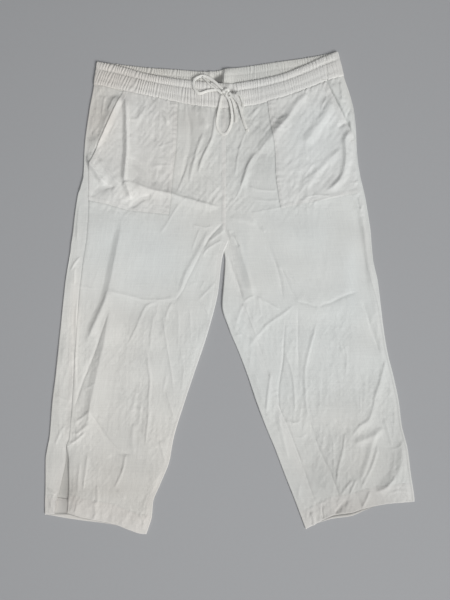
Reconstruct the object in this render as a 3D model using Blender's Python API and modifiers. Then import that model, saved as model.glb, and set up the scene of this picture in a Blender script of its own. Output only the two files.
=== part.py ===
"""Capri pants lying flat and face up, modelled as the pieces they are sewn from.

The wearer's right leg is at -X and the left leg at +X, the waist is towards +Y, +Z is up and the surface they
lie on is Z = 0. The tables below are in millimetres; objects are made in metres.
Run with: blender --background --python part.py
"""

import math
from collections import namedtuple

import bmesh
import bpy
import numpy as np
from mathutils import Vector

MM = 0.001

# The middle of the garment's outline in the tables' frame: the objects' own origin.
MIDDLE = (2.5, 0.3, 0.0)

# Cloth and the way it lies, in millimetres.
CLOTH = 1.2
HALF_CLOTH = CLOTH / 2
SEAM_GAP = 0.3
PLAIN_FOLD_RADIUS = 1.4
WAIST_FOLD_RADIUS = 1.9
WAIST_EASE = 60.0
PUFF = 0.6
EDGE_EASE = 25.0
LOWEST_LIE = CLOTH + SEAM_GAP + HALF_CLOTH
CROTCH_Y = 110.0
CROTCH_CLEARANCE = 3.0

# Waistband.
BAND_WALL = 2.4
GATHERS = 96
GATHER_HEIGHT = 0.9
GATHER_COLUMNS = 2
PLAIN_STEP = 8

# Hems and pockets.
HEM_DEPTH = 38.0
POCKET_LIFT = CLOTH + 0.6
MOUTH_GAPE = 1.6
MOUTH_EASE = 14.0

# Drawstring.
TIE_DIAMETER = 4.0
TIE_SPACING = 9.0

# How finely the panels are divided.
SIDE_COLUMNS = 9
CENTRE_COLUMNS = 6
POCKET_ROWS = 12
LEG_ROWS = 21
HEM_ROWS = 2
BACK_RISE_ROWS = 10
BACK_LEG_ROWS = 19
FOLD_STEPS = 3
STRIP_STEPS = 2
FLOOR_STEPS = 4

CLOTH_COLOUR = (0.56, 0.555, 0.52, 1.0)
BAND_COLOUR = (0.50, 0.49, 0.455, 1.0)
TIE_COLOUR = (0.60, 0.595, 0.56, 1.0)
CLOTH_ROUGHNESS = 0.9

# Levels of a leg from the waist down: the height y, then x of the outer fold edge, of the front's and the
# back's own side seam edges, of the line under the pocket's inner edge, of the inseam and of the inner edge.
Level = namedtuple("Level", "y outer side back_side guide inseam inner")

RIGHT_LEVELS = (
    Level(470, -266, -258, -258, -102, -6, -6),
    Level(417, -270, -261, -261, -102, -6, -6),
    Level(366, -279, -266, -266, -102, -6, -6),
    Level(288, -289, -276, -276, -105, -6, -6),
    Level(240, -291, -279, -279, -111, -5, -5),
    Level(192, -303, -280, -280, -115, -5, -5),
    Level(150, -309, -281, -281, -120, -4, -4),
    Level(110, -314, -284, -284, -126, -7, -2),
    Level(72, -319, -290, -290, -133, -22, -15),
    Level(24, -327, -296, -296, -150, -27, -21),
    Level(-72, -337, -304, -304, -170, -45, -39),
    Level(-168, -347, -310, -310, -190, -77, -71),
    Level(-216, -353, -313, -313, -200, -93, -87),
    Level(-288, -359, -319, -319, -215, -116, -109),
    Level(-308, -363, -324, -325, -218, -121, -113),
    Level(-336, -367, -320, -326, -222, -130, -118),
    Level(-384, -367, -320, -336, -230, -149, -137),
    Level(-420, -368, -321, -344, -236, -164, -151),
    Level(-445, -368, -323, -348, -240, -168, -153),
    Level(-482, -368, -325, -350, -242, -176, -164),
)

LEFT_LEVELS = (
    Level(490, 218, 214, 214, 78, -5, -5),
    Level(434, 231, 227, 227, 78, -5, -5),
    Level(398, 243, 238, 238, 78, -5, -5),
    Level(366, 251, 245, 245, 80, -5, -5),
    Level(330, 255, 249, 249, 86, -5, -5),
    Level(288, 257, 252, 252, 93, -5, -5),
    Level(240, 263, 255, 255, 95, -4, -4),
    Level(192, 274, 260, 260, 101, -4, -4),
    Level(150, 281, 265, 265, 110, -3, -3),
    Level(110, 286, 270, 270, 118, 4, -1),
    Level(72, 289, 274, 274, 125, 9, -7),
    Level(24, 299, 285, 285, 137, 19, -11),
    Level(-24, 305, 299, 299, 150, 32, -13),
    Level(-72, 311, 307, 307, 163, 49, 1),
    Level(-120, 319, 315, 315, 178, 67, 21),
    Level(-168, 331, 327, 327, 193, 81, 39),
    Level(-216, 341, 337, 337, 206, 98, 55),
    Level(-264, 347, 343, 343, 220, 114, 73),
    Level(-312, 359, 355, 355, 233, 131, 93),
    Level(-360, 365, 361, 361, 246, 149, 111),
    Level(-416, 373, 369, 369, 262, 174, 133),
    Level(-472, 375, 371, 371, 276, 195, 154),
)

# The waist: x, then y of the seam under the band, of the front band's top and of the back band's top.
Waist = namedtuple("Waist", "x seam front_top back_top")

WAIST = (
    Waist(-267, 417, 463, 463),
    Waist(-215, 406, 452, 457),
    Waist(-160, 394, 437, 451),
    Waist(-100, 381, 427, 447),
    Waist(-40, 372, 421, 443),
    Waist(0, 370, 418, 449),
    Waist(40, 374, 423, 454),
    Waist(100, 389, 435, 463),
    Waist(150, 405, 454, 470),
    Waist(195, 423, 474, 478),
    Waist(228, 434, 486, 486),
)

# The seam under the back band runs straight from each side to the centre back: x and y.
BACK_SEAM = ((-267, 417), (-4, 401), (228, 434))

# The ends of the band, where it folds over: x at the seam and at the top.
BAND_ENDS_AT_SEAM = (-270.5, 231.5)
BAND_ENDS_AT_TOP = (-264.0, 219.5)

# The hems: x, then y of the front's and of the back's hem.
Hem = namedtuple("Hem", "x front back")

RIGHT_HEM = (
    Hem(-368, -441, -443),
    Hem(-323, -441, -451),
    Hem(-295, -448, -455),
    Hem(-229, -461, -464),
    Hem(-198, -473, -474),
    Hem(-175, -481, -481),
    Hem(-164, -482, -482),
)

LEFT_HEM = (
    Hem(154, -472, -472),
    Hem(171, -463, -464),
    Hem(212, -443, -450),
    Hem(245, -439, -446),
    Hem(271, -431, -436),
    Hem(291, -426, -428),
    Hem(321, -421, -421),
    Hem(373, -417, -417),
)

# The pocket: the two ends of its slanted mouth, and its lower edge as x, y pairs from the side inwards.
Pocket = namedtuple("Pocket", "mouth_top mouth_low lower_edge")

RIGHT_POCKET = Pocket((-211, 400), (-274, 264), ((-283, 186), (-243, 178), (-200, 165), (-119, 157), (0, 140)))
LEFT_POCKET = Pocket((193, 424), (256, 300), ((0, 156), (109, 170), (155, 180), (200, 188), (264, 201)))

# The largest folds of the upper layer: the line each runs along, its half width and its height above the
# cloth beside it. A negative height is a trough.
Fold = namedtuple("Fold", "run half_width height")

FOLDS = (
    Fold(((-213, 396), (-214, 320), (-214, 240), (-204, 192)), 11, 3.4),
    Fold(((-196, 392), (-196, 320), (-196, 240), (-186, 200)), 9, -1.6),
    Fold(((-202, 216), (-160, 203), (-106, 187), (-20, 162)), 11, 1.8),
    Fold(((-31, 340), (-45, 300), (-60, 262)), 13, 2.0),
    Fold(((-71, 300), (-82, 250), (-93, 214)), 12, 1.6),
    Fold(((-284, 284), (-262, 236), (-228, 210)), 12, 2.6),
    Fold(((-213, 150), (-229, 54), (-239, 6), (-262, -50), (-284, -100)), 12, 5.0),
    Fold(((-236, 120), (-252, 40), (-272, -40), (-300, -150)), 9, -1.4),
    Fold(((-244, -60), (-262, -170), (-276, -225), (-284, -268), (-316, -302)), 12, 4.6),
    Fold(((-160, -110), (-158, -240), (-166, -306)), 12, 3.0),
    Fold(((-119, -110), (-112, -190), (-108, -256)), 12, 2.2),
    Fold(((-258, -262), (-230, -306), (-200, -326)), 12, 2.4),
    Fold(((-204, -336), (-212, -366), (-228, -398)), 12, 2.6),
    Fold(((-28, 140), (-54, 70), (-82, 0)), 13, 3.6),
    Fold(((-240, 2), (-160, -10), (-108, -14)), 11, 2.2),
    Fold(((206, 392), (178, 350), (140, 300)), 17, 3.4),
    Fold(((76, 312), (40, 262), (8, 182)), 13, 3.2),
    Fold(((224, 340), (237, 280), (229, 236), (198, 196)), 12, 4.0),
    Fold(((24, 140), (38, 60), (50, -10)), 11, 2.8),
    Fold(((48, 176), (88, 66), (106, -24)), 12, 3.0),
    Fold(((110, -38), (142, -20), (176, -30), (217, -10), (256, 4)), 11, 2.6),
    Fold(((172, -80), (156, -158), (155, -247), (182, -330), (224, -412)), 12, 4.2),
    Fold(((104, -140), (130, -196), (134, -256)), 12, 2.6),
    Fold(((306, -160), (284, -240), (246, -290), (220, -345), (214, -392)), 13, 4.2),
    Fold(((354, -320), (334, -366), (300, -394)), 14, 3.4),
)

# The drawstring's routes over the band and the panels: x, y and height of points on each centre line.
TIE_ROUTES = {
    "tie_loop_upper": (
        (-15, 411, 11.0), (-24, 421, 11.2), (-36, 431, 10.6), (-48, 436, 9.4), (-60, 433, 8.8), (-69, 424, 10.0),
        (-70, 412, 10.2), (-61, 402, 10.2), (-48, 401, 10.2), (-34, 405, 10.4), (-19, 404, 10.8)),
    "tie_loop_hanging": (
        (-14, 396, 10.6), (-17, 386, 10.4), (-21, 369, 9.8), (-22, 350, 8.6), (-19, 332, 8.2), (-12, 321, 8.0),
        (-5, 320, 8.0), (2, 331, 8.2), (6, 348, 8.6), (5, 369, 9.6), (0, 384, 10.4), (-6, 394, 10.6)),
    "tie_end_long": (
        (2, 402, 11.0), (10, 394, 11.4), (19, 382, 12.0), (24, 370, 14.0), (26, 358, 13.0), (31, 343, 9.0),
        (37, 328, 7.8)),
    "tie_end_short": (
        (2, 395, 10.6), (9, 385, 10.2), (13, 370, 9.8), (14.5, 356, 8.6), (15, 342, 8.0)),
    "tie_slack": (
        (15, 400, 10.0), (22, 396, 10.0), (27, 387, 10.0), (28, 376, 9.9), (26, 366, 9.4)),
}
KNOT_CENTRE = (-7.5, 403.0, 12.2)
KNOT_RADII = (6.4, 5.6, 3.6)
TIP_KNOT_CENTRE = (38.4, 324.9, 7.9)
TIP_KNOT_RADII = (2.9, 2.5, 2.2)


def smooth_step(value):
    """0 below 0 and 1 above 1, with an even slope change between."""
    t = np.clip(value, 0.0, 1.0)
    return t * t * (3.0 - 2.0 * t)


def read(rows, key, column, at):
    """Value of a table's column where its key column is `at`, on a curve that doesn't overshoot its rows."""
    pairs = sorted((getattr(row, key), getattr(row, column)) for row in rows)
    keys = np.array([pair[0] for pair in pairs], float)
    values = np.array([pair[1] for pair in pairs], float)
    steps = np.diff(keys)
    rises = np.diff(values) / steps
    slopes = np.zeros(len(keys))
    slopes[0], slopes[-1] = rises[0], rises[-1]
    turns = rises[:-1] * rises[1:] > 0
    slopes[1:-1] = np.where(turns, 2 * rises[:-1] * rises[1:] / np.where(turns, rises[:-1] + rises[1:], 1.0), 0.0)
    at = np.clip(np.asarray(at, float), keys[0], keys[-1])
    index = np.clip(np.searchsorted(keys, at) - 1, 0, len(keys) - 2)
    step = steps[index]
    t = (at - keys[index]) / step
    start, end = values[index], values[index + 1]
    return (
        (1 + 2 * t) * (1 - t) ** 2 * start + t * (1 - t) ** 2 * step * slopes[index]
        + t * t * (3 - 2 * t) * end + t * t * (t - 1) * step * slopes[index + 1]
    )


def curve_through(route, spacing):
    """Evenly spaced points on a smooth curve through a route's points."""
    knots = [np.array(point, float) for point in route]
    knots = [2 * knots[0] - knots[1]] + knots + [2 * knots[-1] - knots[-2]]
    fine = []
    for before, start, end, after in zip(knots, knots[1:], knots[2:], knots[3:]):
        for t in np.linspace(0.0, 1.0, 12, endpoint=False):
            fine.append(0.5 * (2 * start + (end - before) * t + (2 * before - 5 * start + 4 * end - after) * t ** 2
                               + (3 * start - before - 3 * end + after) * t ** 3))
    fine.append(knots[-2])
    fine = np.array(fine)
    run = np.concatenate(([0.0], np.cumsum(np.linalg.norm(np.diff(fine, axis=0), axis=1))))
    count = max(2, int(round(run[-1] / spacing)) + 1)
    return np.column_stack([np.interp(np.linspace(0, run[-1], count), run, fine[:, i]) for i in range(fine.shape[1])])


def back_seam(x):
    return np.interp(x, *zip(*BACK_SEAM))


class Leg:
    """One leg's tables, and the heights and widths read from them."""

    def __init__(self, name, out, levels, hem, pocket):
        self.name, self.out, self.levels, self.hem, self.pocket = name, out, levels, hem, pocket

    def x(self, column, y):
        return read(self.levels, "y", column, y)

    def front_top(self, x):
        return read(WAIST, "x", "seam", x) - SEAM_GAP

    def back_top(self, x):
        return back_seam(x) - 1.5 * SEAM_GAP

    def front_hem(self, x):
        return read(self.hem, "x", "front", x)

    def back_hem(self, x):
        return read(self.hem, "x", "back", x)

    def pocket_foot(self, x):
        xs, ys = zip(*self.pocket.lower_edge)
        return np.interp(x, xs, ys)


RIGHT = Leg("right", -1, RIGHT_LEVELS, RIGHT_HEM, RIGHT_POCKET)
LEFT = Leg("left", 1, LEFT_LEVELS, LEFT_HEM, LEFT_POCKET)


def fold_height(fold, x, y):
    """Height that one fold adds at x, y: a soft ridge or trough along its run, faded at both ends."""
    line = curve_through(fold.run, 12.0)
    best = np.full(np.shape(x), 1e9)
    along = np.zeros(np.shape(x))
    for index in range(len(line) - 1):
        start, step = line[index], line[index + 1] - line[index]
        t = np.clip(((x - start[0]) * step[0] + (y - start[1]) * step[1]) / (step @ step), 0, 1)
        away = np.hypot(x - start[0] - t * step[0], y - start[1] - t * step[1])
        nearer = away < best
        along = np.where(nearer, (index + t) / (len(line) - 1), along)
        best = np.where(nearer, away, best)
    return fold.height * np.exp(-(best / fold.half_width) ** 2) * smooth_step(along * 5) * smooth_step((1 - along) * 5)


def fold_radius(leg, x, y):
    """Radius that the cloth turns on at a fold edge, larger at the waist, where the band lies between."""
    near_waist = smooth_step(1 - (leg.front_top(x) - y) / WAIST_EASE)
    return PLAIN_FOLD_RADIUS + (WAIST_FOLD_RADIUS - PLAIN_FOLD_RADIUS) * near_waist


def lie(leg, x, y):
    """Height of the middle of the upper layer's wall over the surface."""
    x, y = np.asarray(x, float), np.asarray(y, float)
    edge = HALF_CLOTH + 2 * fold_radius(leg, x, y)
    from_outer = np.abs(x - leg.x("outer", y))
    from_inner = np.abs(x - leg.x("inner", y)) + 0.8 * np.maximum(0.0, y - CROTCH_Y)
    inward = smooth_step((np.minimum(from_outer, from_inner) - 3.0) / EDGE_EASE)
    below_waist = smooth_step((leg.front_top(x) - y) / 30.0)
    folds = sum(fold_height(fold, x, y) for fold in FOLDS)
    return np.maximum(edge + inward * (PUFF + below_waist * folds), LOWEST_LIE)


def grid_faces(rows, columns):
    return [(r * columns + c, r * columns + c + 1, (r + 1) * columns + c + 1, (r + 1) * columns + c)
            for r in range(rows - 1) for c in range(columns - 1)]


def cloth_material(name, colour):
    material = bpy.data.materials.new(name)
    material.use_nodes = True
    shader = material.node_tree.nodes["Principled BSDF"]
    shader.inputs["Base Color"].default_value = colour
    shader.inputs["Roughness"].default_value = CLOTH_ROUGHNESS
    shader.inputs["Metallic"].default_value = 0.0
    return material


def to_metres(point):
    """A point of the tables' frame, in metres from the garment's middle."""
    return Vector([MM * (value - middle) for value, middle in zip(point, MIDDLE)])


def mesh_object(name, points, faces, collection, colour):
    """A smooth-shaded mesh object from points in millimetres."""
    mesh = bpy.data.meshes.new(name)
    mesh.from_pydata([to_metres(point) for point in points], [], faces)
    mesh.shade_smooth()
    mesh.materials.append(cloth_material(name + "_cloth", colour))
    piece = bpy.data.objects.new(name, mesh)
    collection.objects.link(piece)
    return piece


def thicken(piece, wall):
    """Gives an open cloth surface its wall, half of it on each side."""
    solidify = piece.modifiers.new("wall", "SOLIDIFY")
    solidify.thickness = wall * MM
    solidify.offset = 0.0


def split_into_triangles(piece):
    """Triangles instead of quads, so pieces made from the same points share the same flat faces."""
    work = bmesh.new()
    work.from_mesh(piece.data)
    bmesh.ops.triangulate(work, faces=work.faces[:], quad_method="FIXED")
    work.to_mesh(piece.data)
    work.free()


def front_rows(leg):
    """The front panel's points, row by row from the waist seam to the hem, side seam to centre."""
    share = [(zone, i / steps) for zone, steps in (("side", SIDE_COLUMNS), ("centre", CENTRE_COLUMNS))
             for i in range(steps)] + [("centre", 1.0)]

    def column_x(zone, part, y):
        """x of a column line at height y, between the side seam, the pocket's line and the inner seam."""
        side = leg.x("side", y) - leg.out * 0.25
        guide = leg.x("guide", y)
        inner = leg.x("inseam", y) + leg.out * 0.25
        return side + (guide - side) * part if zone == "side" else guide + (inner - guide) * part

    def where_it_meets(edge, zone, part, y):
        """y where a column line meets an edge, starting from a guess."""
        for _ in range(6):
            y = float(edge(column_x(zone, part, y)))
        return y

    columns = []
    for zone, part in share:
        top = where_it_meets(leg.front_top, zone, part, 400.0)
        foot = where_it_meets(leg.pocket_foot, zone, part, 180.0)
        hem = where_it_meets(leg.front_hem, zone, part, -450.0)
        stitch = hem + HEM_DEPTH
        heights = np.concatenate((
            np.linspace(top, foot, POCKET_ROWS, endpoint=False),
            np.linspace(foot, stitch, LEG_ROWS, endpoint=False),
            np.linspace(stitch, hem, HEM_ROWS + 1)))
        across = np.array([column_x(zone, part, y) for y in heights])
        columns.append(np.column_stack((across, heights, lie(leg, across, heights))))
    return np.array(columns).transpose(1, 0, 2)


def make_front(leg, rows, collection):
    points = rows.reshape(-1, 3)
    piece = mesh_object("front_" + leg.name, points, grid_faces(*rows.shape[:2]), collection, CLOTH_COLOUR)
    split_into_triangles(piece)
    thicken(piece, CLOTH)


def make_pocket(leg, rows, collection):
    """A patch on the front panel, from that panel's own points, cut along its slanted mouth and moved out."""
    block = rows[:POCKET_ROWS + 1, :SIDE_COLUMNS + 1]
    piece = mesh_object("pocket_" + leg.name, block.reshape(-1, 3), grid_faces(*block.shape[:2]), collection,
                        CLOTH_COLOUR)
    split_into_triangles(piece)
    top, low = (to_metres((*point, 0.0)) for point in (leg.pocket.mouth_top, leg.pocket.mouth_low))
    along = (low - top).normalized()
    outwards = Vector((-along.y, along.x, 0.0))
    if outwards.x * leg.out < 0:
        outwards.negate()
    work = bmesh.new()
    work.from_mesh(piece.data)
    bmesh.ops.bisect_plane(work, geom=work.verts[:] + work.edges[:] + work.faces[:], dist=1e-6, plane_co=top,
                           plane_no=outwards, clear_outer=True)
    for vert in work.verts:
        from_mouth = -(vert.co - top).dot(outwards) / MM
        past_mouth = max(0.0, (low - vert.co).dot(Vector((0, 1, 0))) / MM)
        near_tack = max(0.0, 1 - abs(vert.co.y - top.y) / (25 * MM))
        gape = MOUTH_GAPE * math.exp(-(from_mouth / MOUTH_EASE) ** 2 - (past_mouth / MOUTH_EASE) ** 2)
        vert.co.y -= SEAM_GAP * MM
        vert.co.z += (POCKET_LIFT + gape * (1 - near_tack)) * MM
    work.to_mesh(piece.data)
    work.free()
    thicken(piece, CLOTH)


def back_section(leg, share):
    """One line of points round a back panel, `share` of the way from its waist to its hem.

    It starts at the side seam on the upper side, turns under the outer fold edge, lies along the surface, and
    below the crotch turns up over the inner fold edge to the inseam. Above it, it ends at the centre seam.
    """
    out = leg.out

    def level(x, upper_side=False):
        top, hem = (leg.front_top(x), leg.front_hem(x)) if upper_side else (leg.back_top(x), leg.back_hem(x))
        return float(top + (hem - top) * share)

    def edge_point(column, upper_side=False):
        x = float(leg.x(column, 0.0))
        for _ in range(6):
            x = float(leg.x(column, level(x, upper_side)))
        return x, level(x, upper_side)

    def strip(start, end):
        """Points on the upper side between two x places."""
        return [(x, level(x, True), float(lie(leg, x, level(x, True)))) for x in np.linspace(start, end, STRIP_STEPS + 1)]

    outer, outer_y = edge_point("outer")
    inner, inner_y = edge_point("inner")
    radius = float(fold_radius(leg, outer, outer_y))
    turn = outer - out * (radius + HALF_CLOTH)
    seam = edge_point("back_side", True)[0] + out * SEAM_GAP
    angles = np.linspace(math.pi / 2, -math.pi / 2, FOLD_STEPS + 1)
    line = strip(seam, turn)[:-1]
    line += [(turn + out * radius * math.cos(a), outer_y, HALF_CLOTH + radius + radius * math.sin(a)) for a in angles]
    if inner_y > CROTCH_Y:
        end = inner + out * 0.2
        last = end + out * 1.5 * (FOLD_STEPS + STRIP_STEPS)
        floor = list(np.linspace(turn, last, FLOOR_STEPS + 1)[1:])
        floor += list(np.linspace(last, end, FOLD_STEPS + STRIP_STEPS + 1)[1:])
        return line + [(x, level(x), HALF_CLOTH) for x in floor]
    radius = PLAIN_FOLD_RADIUS
    inner_turn = inner + out * (radius + HALF_CLOTH)
    inseam = edge_point("inseam", True)[0] - out * SEAM_GAP
    line += [(x, level(x), HALF_CLOTH) for x in np.linspace(turn, inner_turn, FLOOR_STEPS + 1)[1:]]
    line += [(inner_turn - out * radius * math.cos(a), inner_y, HALF_CLOTH + radius + radius * math.sin(a))
             for a in -angles[1:]]
    return line + strip(inner_turn, inseam)[1:]


def make_back(leg, collection):
    """The back panel, with its fold to the upper side starting just below the crotch."""
    inner = leg.x("inner", CROTCH_Y)
    top, hem = float(leg.back_top(inner)), float(leg.back_hem(leg.x("inner", -470.0)))
    split = (top - CROTCH_Y) / (top - hem)
    clear = CROTCH_CLEARANCE / (top - hem)
    shares = np.concatenate((np.linspace(0.0, split - clear, BACK_RISE_ROWS),
                             np.linspace(split + clear, 1.0, BACK_LEG_ROWS)))
    sections = [back_section(leg, share) for share in shares]
    points = [point for section in sections for point in section]
    piece = mesh_object("back_" + leg.name, points, grid_faces(len(sections), len(sections[0])), collection,
                        CLOTH_COLOUR)
    split_into_triangles(piece)
    thicken(piece, CLOTH)


# Across the height of the band: the share of it, how far the casing swells there and how high a gather stands.
Casing = namedtuple("Casing", "share swell gather")

CASING = (
    Casing(0.0, 0.0, 0.5),
    Casing(0.36, 0.5, 1.0),
    Casing(0.70, -0.5, 0.7),
    Casing(0.86, 0.4, 1.0),
    Casing(1.0, -0.3, 0.6),
)


def gather(index):
    """Height of one gather line, no two alike, as elastic draws the cloth up."""
    if index % GATHER_COLUMNS:
        return 0.0
    return 0.72 + 0.2 * math.sin(index * 1.7) + 0.08 * math.sin(index * 5.3 + 1.0)


def wall_over_plain(name, fine, plain, plain_columns, collection, colour):
    """A closed wall: a fine face over a plain one that has only the given columns of it and two rows."""
    row_count, column_count = len(fine), len(fine[0])
    points = [point for row in fine for point in row]
    plain_start = len(points)
    points += [point for row in plain for point in row]
    faces = grid_faces(row_count, column_count)
    width = len(plain_columns)
    for m in range(width - 1):
        low, high = plain_start + m, plain_start + width + m
        faces.append((low, low + 1, high + 1, high))
        between = list(range(plain_columns[m + 1], plain_columns[m] - 1, -1))
        faces.append([low, low + 1] + between)
        last_row = (row_count - 1) * column_count
        faces.append([high, high + 1] + [last_row + c for c in between])
    for column, m in ((0, 0), (column_count - 1, width - 1)):
        edge = [r * column_count + column for r in range(row_count)]
        faces.append([plain_start + m] + edge + [plain_start + width + m])
    piece = mesh_object(name, points, faces, collection, colour)
    work = bmesh.new()
    work.from_mesh(piece.data)
    bmesh.ops.triangulate(work, faces=work.faces[:])
    bmesh.ops.recalc_face_normals(work, faces=work.faces[:])
    work.to_mesh(piece.data)
    work.free()
    piece.data.set_sharp_from_angle(angle=math.radians(60))


def band_place(part, share, inset, top_column):
    """x and y on a band, `part` of the way from right to left and `share` of the way up from the seam."""
    seam_x = np.interp(part, (0, 1), (BAND_ENDS_AT_SEAM[0] + inset, BAND_ENDS_AT_SEAM[1] - inset))
    top_x = np.interp(part, (0, 1), (BAND_ENDS_AT_TOP[0] + inset, BAND_ENDS_AT_TOP[1] - inset))
    top_y = read(WAIST, "x", top_column, top_x)
    if top_column == "back_top":
        seam_y = back_seam(seam_x)
    else:
        seam_y = read(WAIST, "x", "seam", seam_x)
    return float(seam_x + (top_x - seam_x) * share), float(seam_y + (top_y - seam_y) * share)


def make_front_band(collection):
    """The band's front: gathers along its top, and both ends turned down round the fold to the surface."""
    outer_radius = WAIST_FOLD_RADIUS + BAND_WALL / 2
    inner_radius = WAIST_FOLD_RADIUS - BAND_WALL / 2
    centre_z = BAND_WALL / 2 + WAIST_FOLD_RADIUS
    count = GATHERS * GATHER_COLUMNS
    turn_angles = np.linspace(-math.pi / 2, math.pi / 2, 5)[:-1]

    def row(share, outer_face, swell, height, columns):
        line = []
        radius = outer_radius if outer_face else inner_radius
        x, y = band_place(0.0, share, outer_radius, "front_top")
        line += [(x - radius * math.cos(a), y, centre_z + radius * math.sin(a)) for a in turn_angles]
        for c in columns:
            x, y = band_place(c / count, share, outer_radius, "front_top")
            inside = smooth_step(min(c, count - c) / 4.0)
            rise = (swell + gather(c) * height * GATHER_HEIGHT) * inside if outer_face else 0.0
            line.append((x, y, centre_z + radius + rise))
        x, y = band_place(1.0, share, outer_radius, "front_top")
        line += [(x + radius * math.cos(a), y, centre_z + radius * math.sin(a)) for a in turn_angles[::-1]]
        return line

    fine = [row(c.share, True, c.swell, c.gather, range(count + 1)) for c in CASING]
    coarse = list(range(0, count + 1, PLAIN_STEP))
    plain = [row(share, False, 0.0, 0.0, coarse) for share in (0.0, 1.0)]
    turns = len(turn_angles)
    plain_columns = list(range(turns)) + [turns + c for c in coarse] + [turns + count + 1 + i for i in range(turns)]
    wall_over_plain("waistband_front", fine, plain, plain_columns, collection, BAND_COLOUR)


def make_back_band(collection):
    """The band's back: flat on the surface, with the gathers on the inner face, which is turned up."""
    inset = WAIST_FOLD_RADIUS + BAND_WALL / 2 + 2 * SEAM_GAP
    count = GATHERS * GATHER_COLUMNS

    def row(share, upper_face, swell, height, columns):
        line = []
        for c in columns:
            x, y = band_place(c / count, share, inset, "back_top")
            rise = max(swell, 0.0) * 0.3 + gather(c) * height * GATHER_HEIGHT if upper_face else -BAND_WALL
            line.append((x, y, BAND_WALL + rise))
        return line

    fine = [row(c.share, True, c.swell, c.gather, range(count + 1)) for c in CASING]
    coarse = list(range(0, count + 1, PLAIN_STEP))
    plain = [row(share, False, 0.0, 0.0, coarse) for share in (0.0, 1.0)]
    wall_over_plain("waistband_back", fine, plain, coarse, collection, BAND_COLOUR)


def make_tie(collection):
    """The bow: loops, free ends and slack as tubes, and a knot that they meet."""
    for name, route in TIE_ROUTES.items():
        line = curve_through(route, TIE_SPACING)
        curve = bpy.data.curves.new(name, "CURVE")
        curve.dimensions = "3D"
        curve.bevel_depth = TIE_DIAMETER / 2 * MM
        curve.bevel_resolution = 2
        curve.use_fill_caps = True
        spline = curve.splines.new("POLY")
        spline.points.add(len(line) - 1)
        for point, place in zip(spline.points, line):
            point.co = (*to_metres(place), 1.0)
        spline.use_smooth = True
        curve.materials.append(cloth_material(name + "_cloth", TIE_COLOUR))
        collection.objects.link(bpy.data.objects.new(name, curve))
    make_knot("tie_knot", KNOT_CENTRE, KNOT_RADII, collection)
    make_knot("tie_tip_knot", TIP_KNOT_CENTRE, TIP_KNOT_RADII, collection)


def make_knot(name, centre, radii, collection):
    """A knot pulled tight: a rounded lump with two soft waists where the strands cross."""
    work = bmesh.new()
    bmesh.ops.create_uvsphere(work, u_segments=14, v_segments=8, radius=1.0)
    for vert in work.verts:
        turn = math.atan2(vert.co.y, vert.co.x)
        swell = 1.0 - 0.08 * math.cos(2 * turn + 0.6) * (1 - vert.co.z ** 2)
        vert.co = to_metres([c + r * v * swell for c, r, v in zip(centre, radii, vert.co)])
    mesh = bpy.data.meshes.new(name)
    work.to_mesh(mesh)
    work.free()
    mesh.shade_smooth()
    mesh.materials.append(cloth_material(name + "_cloth", TIE_COLOUR))
    collection.objects.link(bpy.data.objects.new(name, mesh))


def main():
    for old in list(bpy.data.objects):
        bpy.data.objects.remove(old, do_unlink=True)
    collection = bpy.data.collections.new("capri_pants")
    bpy.context.scene.collection.children.link(collection)
    for leg in (RIGHT, LEFT):
        rows = front_rows(leg)
        make_front(leg, rows, collection)
        make_pocket(leg, rows, collection)
        make_back(leg, collection)
    make_front_band(collection)
    make_back_band(collection)
    make_tie(collection)


main()
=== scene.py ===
"""Capri pants laid flat and face up: the cloth, the sewing and the drawstring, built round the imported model.

The wearer's right leg is at -X and the left leg at +X, the waist is towards +Y and +Z is up. Tables are in
millimetres from a point on the centre line half way down the garment; objects are made in metres.
"""

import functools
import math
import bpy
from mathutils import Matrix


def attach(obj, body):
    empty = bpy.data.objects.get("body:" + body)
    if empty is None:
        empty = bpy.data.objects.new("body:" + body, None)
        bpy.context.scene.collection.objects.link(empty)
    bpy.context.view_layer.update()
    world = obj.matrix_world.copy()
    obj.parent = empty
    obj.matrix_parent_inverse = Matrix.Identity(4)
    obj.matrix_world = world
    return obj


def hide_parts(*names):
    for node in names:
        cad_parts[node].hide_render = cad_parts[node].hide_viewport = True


bl_info = {
    "name": "Capri Pants",
    "version": (1, 0, 0),
    "blender": (4, 5, 0),
    "location": "View3D > Sidebar > Capri Pants",
    "description": "Builds capri pants laid flat, with their folds, seams, gathers and drawstring",
    "category": "Object",
}

from collections import namedtuple

import bmesh
import bpy
import numpy as np
from bpy.props import FloatProperty, FloatVectorProperty, IntProperty, PointerProperty
from mathutils import Vector
from mathutils.bvhtree import BVHTree

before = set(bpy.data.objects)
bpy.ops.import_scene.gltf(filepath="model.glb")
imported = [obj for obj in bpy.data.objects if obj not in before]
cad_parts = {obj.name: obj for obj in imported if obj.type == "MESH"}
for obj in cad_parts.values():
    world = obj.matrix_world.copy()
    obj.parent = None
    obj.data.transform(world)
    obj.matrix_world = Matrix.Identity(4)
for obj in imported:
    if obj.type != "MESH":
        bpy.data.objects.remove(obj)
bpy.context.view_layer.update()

MM = 0.001
BODY = "root"
MIDDLE = (2.5, 0.3, 0.0)

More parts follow.
